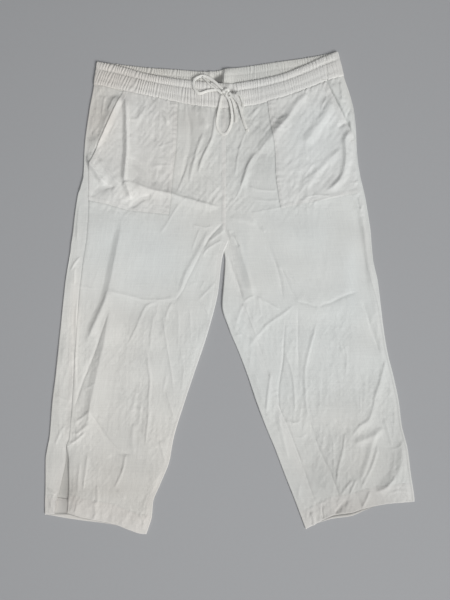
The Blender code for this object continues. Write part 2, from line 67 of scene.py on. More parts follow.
# How the cloth lies and is sewn, in millimetres.
EDGE_RADIUS = 1.3
WAIST_RADIUS = 1.9
WAIST_EASE = 60.0
PUFF = 0.6
EDGE_EASE = 13.0
LOWEST_LIE = 2.1
FLOOR_GAP = 0.05
CROTCH_Y = 121.0
CROTCH_CLEARANCE = 0.2
CENTRE_SPREAD = 30.0
VENT_TOP = -305.0
INNER_HEM_Y = -470.0
WAIST_TUCKS = (-268.0, 230.0)
SEAM_GAP = 0.05
HEM_DEPTH = 38.0
HEM_STAND = 0.25
ALLOWANCE = 11.0
ALLOWANCE_STEP = 0.12
SEAM_GROOVE = 0.25
CENTRE_TRIM = 3.0
LAYER_EDGE = 1.5
STITCH_INSET = 2.6
VENT_INSET = 5.0
VENT_STITCHES = (-440, -312)
TACK_WIDTH = 2.6

# The threads' radii, in metres.
SEAM_THREAD = 0.00022
TACK_THREAD = 0.00024
BAND_THREAD = 0.00026

# What a cut has over what shows: both side allowances in metres, then a share of the length.
FRONT_ALLOWANCES = 0.022
DRAPE = 1.01

# How finely the pieces are divided, and how many passes settle where a column meets a slanted edge.
SIDE_COLUMNS = 96
CENTRE_COLUMNS = 76
POCKET_ROWS = 136
LEG_ROWS = 326
HEM_ROWS = 20
BACK_RISE_ROWS = 120
BACK_LEG_ROWS = 250
FOLD_STEPS = 7
STRIP_COLUMNS = 34
FLOOR_COLUMNS = 21
INNER_COLUMNS = 28
SETTLING = 6
CURVE_STEPS = 12
WAVE_COUNT = 14
STRAP_SIDES = 14
STITCH_SIDES = 6
FIELD_STEP = 1.0
LAST_CELL = 1.001
FIELD_X = np.arange(-384.0, 392.0, FIELD_STEP)
FIELD_Y = np.arange(-500.0, 508.0, FIELD_STEP)


def table(kind, *rows):
    """Rows of numbers as named tuples of one kind."""
    return tuple(kind(*row) for row in rows)


# Levels of a leg from the waist down: the height y, then x of the outer fold edge, of the front's and the
# back's own side seam edges, of the line under the pocket's inner edge, of the inseam and of the inner edge.
Level = namedtuple("Level", "y outer side back_side guide inseam inner")

RIGHT_LEVELS = table(
    Level,
    (470, -266, -258, -258, -102, -5.5, -5.5),
    (417, -270, -261, -261, -102, -5.5, -5.5),
    (366, -279, -266, -266, -102, -5.5, -5.5),
    (288, -289, -276, -276, -105, -5.5, -5.5),
    (240, -291, -279, -279, -111, -5.5, -5.5),
    (192, -303, -280, -280, -115, -5.5, -5.5),
    (150, -309, -281, -281, -120, -5.5, -5.5),
    (122, -312, -283, -283, -124, -5.5, -1),
    (108, -314, -284, -284, -126, -8, 0.5),
    (96, -316, -286, -286, -129, -13, -3.5),
    (84, -317, -288, -288, -131, -18, -8.5),
    (66, -320, -291, -291, -135, -22.5, -13),
    (24, -327, -296, -296, -150, -26, -18),
    (6, -329, -298, -298, -154, -28, -20),
    (-72, -337, -304, -304, -170, -45, -39),
    (-168, -347, -310, -310, -190, -77, -71),
    (-216, -353, -313, -313, -200, -93, -87),
    (-288, -359, -319, -319, -215, -116, -109),
    (-308, -363, -324, -325, -218, -121, -113),
    (-336, -367, -320, -326, -222, -130, -118),
    (-384, -367, -320, -336, -230, -149, -137),
    (-420, -368, -321, -344, -236, -164, -151),
    (-445, -368, -323, -348, -240, -168, -153),
    (-482, -368, -325, -350, -242, -176, -164),
)

LEFT_LEVELS = table(
    Level,
    (490, 218, 214, 214, 78, -5.5, -5.5),
    (434, 231, 227, 227, 78, -5.5, -5.5),
    (398, 243, 238, 238, 78, -5.5, -5.5),
    (366, 251, 245, 245, 80, -5.5, -5.5),
    (330, 255, 249, 249, 86, -5.5, -5.5),
    (288, 257, 252, 252, 93, -5.5, -5.5),
    (240, 263, 255, 255, 95, -5.5, -5.5),
    (192, 274, 260, 260, 101, -5.5, -5.5),
    (150, 281, 265, 265, 110, -5.5, -5.5),
    (122, 285, 269, 269, 116, -5.0, -9),
    (108, 286, 270, 270, 118, 1, -9.5),
    (96, 287, 272, 272, 121, 5, -9.5),
    (84, 288, 273, 273, 123, 7, -9),
    (66, 290, 275, 275, 127, 10, -7),
    (24, 299, 285, 285, 137, 19, -9.5),
    (-24, 305, 299, 299, 150, 32, -13),
    (-72, 311, 307, 307, 163, 49, 1),
    (-120, 319, 315, 315, 178, 67, 21),
    (-168, 331, 327, 327, 193, 81, 39),
    (-216, 341, 337, 337, 206, 98, 55),
    (-264, 347, 343, 343, 220, 114, 73),
    (-312, 359, 355, 355, 233, 131, 93),
    (-360, 365, 361, 361, 246, 149, 111),
    (-416, 373, 369, 369, 262, 174, 133),
    (-472, 375, 371, 371, 276, 195, 154),
)

# The waist: x, then y of the seam under the band, of the front band's top and of the back band's top.
Waist = namedtuple("Waist", "x seam front_top back_top")

WAIST = table(
    Waist,
    (-267, 417, 463, 463),
    (-215, 406, 452, 457),
    (-160, 394, 437, 451),
    (-100, 381, 427, 447),
    (-40, 372, 421, 443),
    (0, 370, 418, 449),
    (40, 374, 423, 454),
    (100, 389, 435, 463),
    (150, 405, 454, 470),
    (195, 423, 474, 478),
    (228, 434, 486, 486),
)
BACK_SEAM = ((-267, 417), (-4, 401), (228, 434))
BAND_ENDS_AT_SEAM = (-270.5, 231.5)
BAND_ENDS_AT_TOP = (-264.0, 219.5)

# The hems: x, then y of the front's and of the back's hem.
Hem = namedtuple("Hem", "x front back")

RIGHT_HEM = table(
    Hem,
    (-368, -441, -443),
    (-323, -441, -451),
    (-295, -448, -455),
    (-229, -461, -464),
    (-198, -473, -474),
    (-175, -481, -481),
    (-164, -482, -482),
)

LEFT_HEM = table(
    Hem,
    (154, -472, -472),
    (171, -463, -464),
    (212, -443, -450),
    (245, -439, -446),
    (271, -431, -436),
    (291, -426, -428),
    (321, -421, -421),
    (373, -417, -417),
)

# The pocket: the two ends of its slanted mouth, and its lower edge as x, y pairs from the side inwards.
Pocket = namedtuple("Pocket", "mouth_top mouth_low lower_edge")

RIGHT_POCKET = Pocket(
    (-211, 400), (-274, 264), ((-283, 186), (-243, 178), (-200, 165), (-119, 157), (0, 140)))
LEFT_POCKET = Pocket(
    (193, 424), (256, 300), ((0, 156), (109, 170), (155, 180), (200, 188), (264, 201)))
POCKET_LIFT = 1.15
POCKET_WALL = 0.7
MOUTH_GAPE = 1.5
MOUTH_EASE = 20.0
MOUTH_HEM = 9.0
MOUTH_END = 12
POCKET_ALLOWANCE = 8.5

# Folds and creases of the upper layer. A row gives the width of the slope towards the left leg or the hem,
# the width towards the right leg or the waist, the height, the softness, and then x, y of points along the
# crest. A soft fold is rounded, and one with no softness has flat slopes that meet in a sharp line.
# A negative height is a trough.
Fold = namedtuple("Fold", "east west height soft run")
FOLD_SPACING = 8.0
FOLD_REACH = 30.0
FOLD_TAPER = 5.5
# The small wrinkles between the folds: their length, their seed, the way they run and how drawn out they are.
LENGTHWISE = (27.0, 3, 1.42, 4.2)
SLANTED = (17.0, 13, 0.9, 3.6)
CROSSWISE = (16.0, 17, -0.35, 3.2)
SHORT = (13.0, 41, 1.25, 2.2)
FINE = (8.5, 5, 1.1, 1.5)

RIGHT_POCKET_FOLDS = (
    # The standing step down the middle of the pocket, and the wedge at its foot.
    (6, 14, 7.4, 0.1, (-217, 399), (-209, 392), (-203, 370), (-202, 330), (-202, 290), (-204, 262),
     (-206, 236), (-208, 204)),
    (5, 13, 5.6, 0.1, (-205, 226), (-202, 214), (-198, 201), (-194, 186)),
    # The crease pressed across the pocket and on to the centre seam.
    (22, 7, 4.2, 0.1, (-201, 226), (-176, 213), (-157, 206), (-137, 201), (-117, 198), (-97, 191), (-77, 187),
     (-57, 181), (-12, 170)),
    (8, 18, 2.1, 0.6, (-196, 224), (-157, 208), (-117, 200), (-86, 190)),
    (12, 6, -4.0, 0.1, (-153, 198), (-177, 187), (-201, 168)),
    (3, 3, 1.0, 0.2, (-215, 190), (-214, 170)),
    # The star of creases at the hip, under the low end of the mouth.
    (6, 14, 7.2, 0.05, (-289, 281), (-277, 261), (-265, 245), (-256, 230), (-241, 217)),
    (9, 6, -5.4, 0.1, (-225, 212), (-243, 213), (-256, 210), (-266, 202), (-276, 192)),
    (5, 5, 3.2, 0.1, (-288, 315), (-274, 301), (-260, 289)),
    (5, 8, 3.6, 0.1, (-259, 270), (-240, 244), (-215, 216)),
    (3, 3, 0.9, 0.2, (-248, 264), (-226, 237)),
    (3, 3, 0.8, 0.2, (-238, 268), (-214, 243)),
    # From the waist down into the pocket.
    (8, 7, 3.0, 0.3, (-155, 392), (-139, 369), (-127, 353), (-118, 330)),
    (5, 4, 1.4, 0.4, (-122, 402), (-116, 384), (-112, 370)),
    (8, 7, 1.6, 0.5, (-199, 349), (-184, 346), (-171, 360), (-164, 376)),
    (14, 10, 1.4, 0.8, (-196, 318), (-190, 298), (-182, 276)),
    (14, 14, -2.8, 0.3, (-201, 272), (-165, 244), (-143, 210)),
    (6, 6, 1.1, 0.4, (-146, 290), (-126, 296), (-106, 304)),
    (6, 6, 1.0, 0.5, (-160, 248), (-140, 254), (-112, 256)),
    # The panel beside the mouth, which rises to the mouth's edge.
    (10, 34, 6.4, 0.2, (-213, 398), (-236, 346), (-266, 284)),
    (5, 4, 2.1, 0.3, (-246, 396), (-250, 374), (-252, 352)),
    (4, 4, 1.9, 0.3, (-224, 394), (-233, 378), (-240, 360)),
)

CENTRE_FOLDS = (
    # Right of the centre seam: slanting folds from the waist to the pressed crease.
    (9, 5, 3.9, 0.2, (-25, 370), (-28, 338), (-33, 310), (-45, 284), (-55, 262), (-62, 232)),
    (8, 7, 2.9, 0.3, (-49, 324), (-62, 288), (-70, 258), (-79, 220)),
    (10, 16, 3.1, 0.7, (-64, 386), (-50, 354), (-43, 326)),
    (8, 10, -1.8, 0.6, (-84, 368), (-76, 330), (-78, 290), (-88, 250), (-101, 208)),
    (6, 3, 1.5, 0.1, (-79, 262), (-92, 228), (-103, 200)),
    (5, 5, 1.6, 0.2, (-55, 253), (-46, 234), (-32, 219), (-16, 203)),
    (6, 8, 1.5, 0.6, (-72, 372), (-60, 356)),
    (5, 3, 1.2, 0.1, (-97, 182), (-113, 156), (-125, 136), (-139, 116)),
    # Left of the centre seam: the wide shaded fold, and thin creases beside it.
    (6, 2.6, 1.8, 0.1, (37, 328), (24, 296), (17, 266), (12, 230)),
    (26, 19, 4.6, 0.35, (124, 358), (100, 328), (80, 304), (56, 280)),
    (12, 9, 3.2, 0.3, (61, 288), (44, 262), (34, 236), (25, 208)),
    (4, 3, 1.9, 0.1, (57, 284), (40, 258), (30, 228), (20, 200), (2, 173)),
    (9, 7, 2.4, 0.3, (77, 389), (56, 366), (36, 346)),
    (5, 3, 1.2, 0.2, (38, 213), (67, 206), (101, 205)),
    (4, 3, 1.0, 0.2, (45, 160), (67, 164), (109, 172)),
    (5, 5, 0.8, 0.6, (48, 188), (80, 184), (104, 186)),
    (9, 15, 0.9, 0.7, (0, 149), (28, 147), (58, 137)),
    # Crotch: short creases that spread from the point where the legs part.
    (3, 3, 1.2, 0.1, (-74, 136), (-56, 133), (-44, 130), (-30, 137)),
    (4, 3, 0.9, 0.3, (-57, 131), (-63, 114), (-74, 84)),
    (40, 9, 2.3, 0.15, (-36, 132), (-49, 106), (-61, 82), (-75, 58), (-87, 34), (-95, 10), (-105, -10)),
    (4, 4, -1.3, 0.1, (-49, 92), (-61, 68), (-71, 48), (-81, 28), (-90, 8), (-102, -10), (-114, -24)),
    (5, 5, -2.5, 0.2, (-9, 141), (-26, 124), (-40, 108), (-51, 86)),
    (4, 4, 1.6, 0.1, (-7, 127), (-24, 114), (-40, 102)),
    (4, 3, 1.8, 0.1, (-12, 106), (-34, 94), (-46, 84), (-53, 70)),
    (3, 3, 1.6, 0.1, (-1, 126), (3, 116), (5, 106)),
    (5, 5, -2.2, 0.2, (1, 124), (12, 110), (21, 90)),
)

LEFT_POCKET_FOLDS = (
    (13, 16, 3.6, 0.55, (160, 402), (130, 368), (112, 342), (90, 320)),
    (3, 3, 1.1, 0.3, (86, 352), (100, 346), (114, 350)),
    (3, 3, 1.1, 0.3, (82, 341), (98, 336), (116, 331)),
    (3, 3, 1.0, 0.3, (88, 328), (104, 326), (122, 331)),
    (18, 16, 3.7, 0.7, (211, 393), (192, 354), (172, 326), (148, 291)),
    (4, 3, 1.5, 0.2, (197, 394), (188, 376), (183, 360)),
    # The hook that falls from the mouth.
    (20, 10, 5.4, 0.2, (253, 331), (240, 320), (232, 306), (234, 286), (233, 264), (229, 242), (218, 222),
     (194, 200)),
    (8, 8, -3.0, 0.2, (245, 343), (230, 338), (216, 329)),
    (4, 6, 2.5, 0.3, (244, 324), (252, 306), (257, 287)),
    (10, 4, -3.2, 0.3, (246, 374), (236, 352), (240, 328)),
    (6, 7, 2.8, 0.5, (223, 424), (226, 400), (227, 378)),
    (5, 5, 1.5, 0.4, (252, 292), (262, 262), (269, 231)),
    (16, 12, 2.1, 0.8, (228, 290), (196, 262), (168, 232), (144, 208)),
    (10, 8, 1.0, 0.8, (184, 264), (148, 244)),
    # The crumpled lower edge, and creases at the side.
    (3, 3, 1.5, 0.2, (148, 187), (166, 194), (184, 195), (208, 193)),
    (3, 3, 1.3, 0.2, (158, 178), (192, 188), (234, 198)),
    (4, 3, 1.4, 0.2, (225, 224), (240, 202), (252, 186), (263, 156)),
    (4, 3, 1.1, 0.2, (241, 219), (257, 222), (269, 227)),
    (4, 3, 1.3, 0.2, (252, 195), (262, 202), (269, 209)),
)

RIGHT_LEG_FOLDS = (
    # The long fold from the pocket past the knee.
    (80, 18, 4.6, 0.0, (-213, 152), (-217, 116), (-223, 86), (-228, 62), (-233, 36), (-237, 16), (-240, 4),
     (-245, -14), (-255, -38), (-267, -64), (-279, -88), (-291, -110)),
    (20, 6, 1.6, 0.3, (-238, 14), (-246, -10), (-256, -34), (-270, -66), (-280, -90)),
    # The fold below it, which carries on to the vent's tack.
    (50, 20, 4.6, 0.05, (-235, -24), (-240, -54), (-249, -104), (-259, -144), (-267, -184), (-275, -220),
     (-278, -240), (-281, -264), (-286, -284)),
    (4, 6, -1.8, 0.2, (-237, -28), (-247, -62), (-255, -84), (-267, -118), (-279, -148), (-291, -178),
     (-303, -214), (-310, -238)),
    (5, 5, 0.9, 0.4, (-267, -180), (-278, -188), (-290, -194)),
    (6, 5, 2.0, 0.3, (-276, -234), (-290, -247), (-308, -259)),
    (6, 5, 1.8, 0.3, (-279, -261), (-292, -273), (-306, -283)),
    (5, 7, 2.6, 0.2, (-284, -276), (-300, -291), (-320, -305)),
    (3, 3, 1.0, 0.2, (-318, -280), (-306, -281), (-296, -279)),
    # The crease pressed across the knee, and what hangs from it.
    (4, 10, 1.8, 0.1, (-242, 5), (-222, -1), (-200, -6), (-176, -11)),
    (8, 4, 1.4, 0.2, (-194, -8), (-168, -13), (-140, -13), (-106, -9)),
    (9, 3, 1.5, 0.2, (-133, -15), (-159, -22), (-169, -32), (-177, -50), (-183, -66), (-191, -82),
     (-202, -106)),
    (6, 3, 1.0, 0.2, (-150, -34), (-152, -64), (-155, -84), (-156, -118)),
    (4, 3, 1.6, 0.1, (-131, -42), (-129, -64), (-125, -94), (-121, -118), (-115, -154), (-111, -184),
     (-109, -204)),
    (7, 3, 1.4, 0.2, (-112, -17), (-121, -34), (-126, -54)),
    (5, 4, 1.0, 0.3, (-101, -28), (-100, -70), (-101, -116)),
    (4, 3, 0.8, 0.3, (-79, -22), (-76, -60), (-75, -106)),
    (6, 5, 0.9, 0.5, (-96, -110), (-90, -150), (-94, -200)),
    # Below the knee.
    (7, 4, 2.2, 0.1, (-162, -110), (-161, -144), (-157, -172), (-159, -204), (-160, -244), (-163, -274),
     (-167, -310)),
    (5, 3, 1.3, 0.2, (-126, -192), (-117, -224), (-106, -260)),
    (4, 3, 0.7, 0.3, (-123, -160), (-128, -184), (-132, -202)),
    (7, 5, 2.0, 0.2, (-138, -292), (-131, -322), (-123, -346)),
    (5, 4, 0.8, 0.3, (-157, -290), (-149, -302), (-143, -310)),
    (6, 9, -3.2, 0.2, (-277, -236), (-259, -266), (-245, -288), (-231, -306), (-217, -319), (-189, -322)),
    (5, 5, 0.8, 0.4, (-262, -246), (-246, -258), (-236, -266)),
    (8, 9, 1.3, 0.9, (-188, -256), (-192, -290), (-190, -322)),
    (12, 14, -1.2, 0.9, (-236, -322), (-222, -344), (-208, -350)),
    (5, 5, 1.8, 0.2, (-205, -318), (-209, -344), (-215, -364), (-229, -392)),
    (4, 4, 1.1, 0.3, (-223, -393), (-207, -411)),
    (4, 6, 1.3, 0.4, (-262, -382), (-261, -404), (-262, -424)),
    (5, 5, 1.5, 0.4, (-281, -318), (-286, -360), (-291, -396)),
    (5, 5, 1.1, 0.5, (-296, -336), (-300, -372), (-302, -404)),
    (4, 4, 0.6, 0.4, (-202, -236), (-186, -232), (-172, -234)),
    (4, 4, 0.8, 0.3, (-292, -378), (-276, -374)),
    # Inside of the thigh.
    (5, 3, 1.1, 0.2, (-15, 38), (-31, 16), (-47, 0), (-63, -18)),
    (5, 4, 0.7, 0.4, (-47, 26), (-57, 6)),
    (4, 3, 1.0, 0.2, (-59, -18), (-45, -34), (-31, -58)),
    (3, 3, 0.8, 0.2, (-51, -22), (-33, -54)),
    (4, 4, 0.9, 0.3, (-33, -36), (-39, -64), (-51, -92)),
    (4, 3, 0.8, 0.2, (-78, 16), (-64, 22)),
    # The strip outside the side seam.
    (5, 8, 1.9, 0.3, (-299, 180), (-302, 140), (-303, 104)),
    (4, 4, 1.8, 0.2, (-318, 42), (-307, 60), (-295, 74)),
    (4, 4, 1.0, 0.3, (-307, 52), (-308, 32), (-309, 14)),
    (3, 3, 0.8, 0.2, (-311, 16), (-287, 12), (-263, 8)),
    (5, 6, 1.3, 0.5, (-303, -8), (-305, -114), (-306, -210)),
    (4, 4, 1.3, 0.2, (-349, -203), (-331, -211), (-313, -217)),
    (4, 4, 0.9, 0.3, (-345, -217), (-330, -227), (-317, -230)),
    (5, 5, 1.2, 0.5, (-347, -306), (-336, -278), (-324, -262)),
    (3, 3, 3.0, 0.1, (-369, -384), (-355, -396), (-343, -404)),
)

LEFT_LEG_FOLDS = (
    # The inside of the thigh: the seam stands on a slope, with a facet on each side.
    (8, 20, 3.6, 0.2, (-3, 126), (19, 102), (29, 70), (37, 46), (43, 22), (52, -8)),
    (6, 11, -2.2, 0.2, (-8, 90), (5, 56), (15, 30), (23, 6), (30, -18)),
    (4, 3, 1.4, 0.2, (28, -16), (43, -54), (58, -94)),
    (5, 5, 1.4, 0.2, (32, -18), (23, -38), (14, -64)),
    (4, 4, -1.5, 0.2, (-10, -14), (-5, -42), (9, -64)),
    (4, 4, -1.6, 0.1, (15, -66), (29, -80), (47, -92)),
    (3, 3, 1.4, 0.1, (5, -86), (17, -84), (27, -81)),
    (4, 4, 1.5, 0.2, (53, -5), (37, -12), (29, -21)),
    (4, 4, 1.9, 0.1, (53, -5), (79, -20), (105, -34)),
    (4, 4, 0.7, 0.3, (59, -8), (62, -26), (66, -48)),
    # Pleats from the pocket's corner to the knee.
    (8, 5, -2.4, 0.2, (42, 162), (55, 142), (65, 122), (75, 102), (83, 82), (91, 66), (99, 42), (105, 16),
     (109, -18)),
    (4, 4, 1.0, 0.2, (64, 130), (74, 122)),
    (6, 5, -1.9, 0.1, (103, 56), (113, 34), (123, 10), (133, -10), (142, -20)),
    (5, 5, -1.1, 0.3, (111, 52), (129, 26), (149, 0), (168, -22)),
    # The crease pressed across the knee, and what hangs from it.
    (4, 4, -1.6, 0.1, (136, -17), (155, -21), (169, -25), (179, -31)),
    (6, 7, -1.5, 0.2, (175, -31), (189, -24), (205, -19), (225, -9), (243, -2), (262, 3)),
    (7, 5, 1.5, 0.3, (36, -117), (47, -98), (59, -84), (75, -66), (93, -52), (111, -40), (123, -30),
     (137, -20)),
    (4, 4, -2.0, 0.2, (117, -34), (113, -64), (110, -104), (109, -134), (101, -184), (100, -214), (105, -238),
     (117, -264), (130, -298), (144, -334), (158, -374), (170, -410), (180, -434)),
    (5, 3, 1.7, 0.1, (112, -114), (125, -154), (131, -194), (133, -248)),
    (3, 4, -1.4, 0.1, (139, -22), (139, -104), (141, -154)),
    (5, 8, 2.4, 0.15, (178, -52), (171, -80), (163, -108), (157, -134), (153, -160), (154, -200), (157, -236),
     (166, -258)),
    (6, 5, 0.9, 0.6, (204, -62), (222, -100), (232, -130)),
    (6, 5, 0.9, 0.5, (230, -96), (236, -130), (234, -170)),
    # The shin.
    (5, 6, -2.8, 0.1, (162, -250), (169, -278), (179, -306), (191, -334), (203, -358), (215, -388),
     (224, -414)),
    (7, 5, 2.6, 0.1, (85, -154), (81, -184), (77, -214), (75, -242)),
    (5, 10, 1.5, 0.4, (98, -230), (106, -274), (113, -304), (121, -336)),
    (4, 4, 1.0, 0.3, (143, -380), (140, -400), (139, -418)),
    (7, 4, 2.4, 0.2, (234, -276), (229, -306), (225, -326), (219, -352), (216, -384)),
    (4, 4, -2.0, 0.2, (213, -252), (225, -270), (235, -286)),
    (4, 3, 0.8, 0.3, (207, -274), (209, -314), (211, -356)),
    (3, 3, 1.7, 0.2, (114, -254), (131, -260), (145, -255)),
    (4, 4, 0.8, 0.4, (123, -280), (143, -290), (161, -276)),
    (12, 10, -1.6, 0.9, (147, -334), (167, -362), (195, -390)),
    (4, 3, 0.7, 0.3, (190, -226), (204, -228)),
    # The hook from the side edge, and the facets under it.
    (16, 6, 2.6, 0.2, (318, -116), (311, -146), (303, -176), (293, -206), (287, -236), (279, -254),
     (264, -264), (254, -276), (243, -294)),
    (2.6, 2.6, 0.9, 0.2, (263, -202), (263, -242)),
    (14, 14, 2.8, 0.5, (250, -304), (263, -296), (279, -290), (295, -280), (310, -268)),
    (9, 12, 2.4, 0.5, (299, -272), (289, -296), (281, -326), (273, -352), (262, -380)),
    (8, 6, 2.7, 0.15, (299, -302), (292, -330), (281, -358), (271, -377), (264, -396)),
    (20, 24, 3.5, 0.5, (354, -284), (351, -310), (346, -336), (337, -356), (325, -376), (311, -390),
     (290, -399)),
    (8, 5, 2.2, 0.1, (334, -362), (324, -377), (311, -390), (294, -397)),
    (3, 3, 1.3, 0.2, (354, -286), (345, -303), (334, -312), (321, -309)),
    (4, 8, 1.9, 0.3, (310, -248), (321, -284), (328, -310)),
    (4, 4, -2.1, 0.2, (336, -386), (353, -406), (367, -420)),
    (5, 4, 1.5, 0.4, (316, -402), (340, -394), (364, -398)),
    # Where the creases meet at the hem.
    (4, 4, 2.2, 0.1, (223, -406), (239, -384), (249, -372)),
    (4, 4, 2.1, 0.1, (241, -406), (251, -382), (258, -370)),
    (6, 5, 2.6, 0.2, (283, -394), (275, -412), (266, -430)),
    # The side: a slope up to the seam.
    (9, 14, 1.7, 0.6, (266, 192), (269, 146), (275, 106), (281, 70), (285, 36), (289, 6), (299, -24),
     (309, -54), (316, -88)),
    (8, 20, -0.9, 1.0, (259, 170), (263, 120), (269, 80), (275, 40), (279, 4)),
    (11, 4, -2.6, 0.1, (264, -10), (275, -38), (283, -64), (293, -94), (302, -122)),
    (5, 5, 1.0, 0.5, (272, 184), (262, 160), (266, 130)),
    (3, 3, 0.8, 0.2, (290, 16), (302, 14)),
)

HEM_FOLDS = (
    (12, 5, -4.4, 0.1, (239, -412), (225, -426), (211, -443)),
    (4, 4, -2.0, 0.2, (187, -418), (187, -436), (191, -452)),
    (4, 8, 2.6, 0.3, (164, -436), (171, -452), (172, -468)),
    (8, 7, 1.7, 0.6, (-267, -414), (-266, -436), (-268, -454)),
    (5, 5, 1.0, 0.5, (-300, -412), (-304, -428), (-308, -442)),
    (5, 5, 0.9, 0.5, (-178, -440), (-170, -456), (-166, -470)),
)

FOLD_ROWS = (
    RIGHT_POCKET_FOLDS + CENTRE_FOLDS + LEFT_POCKET_FOLDS + RIGHT_LEG_FOLDS + LEFT_LEG_FOLDS + HEM_FOLDS)
FOLDS = tuple(Fold(*row[:4], row[4:]) for row in FOLD_ROWS)

# Broad areas where the cloth is darker or paler, and cooler or warmer: middle, reach, shade and coolness.
# Some are the cloth's own uneven tone; many of the darker and paler ones are painted shade and painted light,
# standing in for how the folds there are lit.
Patch = namedtuple("Patch", "x y across down shade cool")

PATCHES = table(
    Patch,
    (-262, 350, 34, 60, 0.02, -0.9),
    # Painted shade on the waist and on the upper panels, where soft folds shade the cloth.
    (-220, 430, 90, 30, 0.12, -0.8),
    (-77, 346, 34, 38, 0.12, -0.1),
    (0, 350, 16, 30, 0.11, -0.1),
    (106, 342, 34, 30, 0.09, -0.1),
    (-236, 352, 14, 22, 0.09, -0.2),
    # A painted highlight on the bright crease at the hip, and painted shade in the hollow under it.
    (-262, 240, 18, 14, -0.10, 0.0),
    (-254, 204, 18, 7, 0.10, 0.0),
    # Painted light on the outer strip beside the right leg's side seam.
    (-308, -20, 12, 170, -0.10, -0.4),
    (-318, -80, 34, 100, -0.07, -0.1),
    (-258, 60, 24, 80, -0.05, 0.0),
    (-200, 190, 70, 26, -0.09, -0.2),
    # Painted light on the band beside the bow, then painted shade in the notch right of the knot and in the
    # spots beside it.
    (34, 396, 20, 22, -0.10, -0.1),
    (7, 402, 4.5, 5, 0.8, -0.2),
    (-18, 400, 4, 3, 0.6, -0.2),
    (-150, 70, 130, 100, -0.02, 0.6),
    (-200, -280, 140, 100, 0.02, -0.5),
    (-230, -420, 160, 70, 0.05, -0.7),
    (50, 310, 45, 90, 0.09, 0.0),
    (180, 310, 80, 90, -0.05, 0.6),
    (150, 80, 130, 110, -0.02, 0.4),
    (230, 0, 260, 450, 0.0, 0.6),
    (6, 40, 9, 50, -0.06, 0.0),
    (32, 60, 9, 60, 0.05, 0.2),
    (220, -270, 110, 90, 0.08, -0.2),
    (240, -355, 130, 46, 0.12, -0.2),
    (338, -300, 24, 80, 0.11, 0.0),
    (188, -362, 44, 40, 0.06, 0.1),
    (-215, -350, 90, 50, 0.05, -0.1),
    (-240, -392, 80, 15, 0.08, -0.1),
    (-186, -302, 22, 20, 0.07, 0.1),
    (-312, -400, 16, 40, 0.12, -0.3),
    (282, 84, 10, 32, 0.09, 0.0),
    (246, 40, 14, 70, -0.06, 0.2),
    (260, -435, 120, 45, 0.22, -0.4),
)

# The drawstring's routes over the band and the panels: x, y and height of points on each centre line.
TIE_ROUTES = {
    "tie_loop_upper": (
        (-12, 405, 10.2), (-29, 421, 9.8), (-43, 430, 8.8), (-53, 432, 8.2), (-65, 427, 8.4), (-70, 417, 8.9),
        (-67, 406, 9.2), (-58, 397, 9.2), (-41, 402, 9.0), (-24, 404, 9.2), (-14, 401, 9.6)),
    "tie_loop_hanging": (
        (-13, 393, 9.8), (-15, 385, 9.2), (-18, 370, 8.6), (-21, 355, 9.2), (-23, 340, 8.4), (-21, 328, 7.4),
        (-14, 319, 6.8), (-5, 318, 6.7), (3, 330, 7.4), (7, 347, 8.8), (5, 370, 9.8), (1, 384, 10.2),
        (-5, 393, 10.2)),
    "tie_end_long": (
        (1, 398, 10.4), (8, 391, 10.4), (18, 380, 10.8), (23, 369, 11.6), (26, 357, 10.4), (30, 342, 8.4),
        (36, 327, 7.2)),
    "tie_end_short": (
        (2, 392, 9.6), (8.5, 382, 9.3), (12.5, 368, 8.4), (14, 354, 7.4), (14.5, 340, 7.2)),
    "tie_slack": (
        (15, 398, 9.2), (22, 394, 9.6), (27, 385, 9.2), (28, 374, 8.8), (26, 364, 8.0)),
}
# The loop's strap turns over at its top, and a second strand comes back to the knot beside the first.
LOOP_RETURN = (
    (-12, 397, 9.6), (-18, 400, 9.7), (-28, 408, 9.5), (-39, 417, 9.1), (-48, 427, 8.7), (-52, 431, 8.4))
KNOT_CENTRE = (-6.0, 400.0, 11.2)
KNOT_REACH = (6.4, 5.6, 2.0)
TIP_KNOT_CENTRE = (37.4, 324.0, 7.4)
TIP_KNOT_REACH = (2.2, 2.0, 1.0)
TIE_SPACING = 1.5
TIE_FLATNESS = 0.27
STRAP_GIRTH = 12.0

# Along a stitch: the share of its length, of its thread's radius, and how many radii it stands up there.
STITCH_PROFILE = ((0.0, 0.25, -0.9), (0.18, 0.8, 0.0), (0.5, 1.0, 0.35), (0.82, 0.8, 0.0), (1.0, 0.25, -0.9))

# Where the tie comes out of the band: x, y of the two buttonholes.
BUTTONHOLES = ((-15.0, 407.0), (15.0, 400.0))

LENGTH = {"subtype": "DISTANCE", "unit": "LENGTH"}
COLOUR = {"size": 3, "min": 0.0, "max": 1.0, "subtype": "COLOR"}


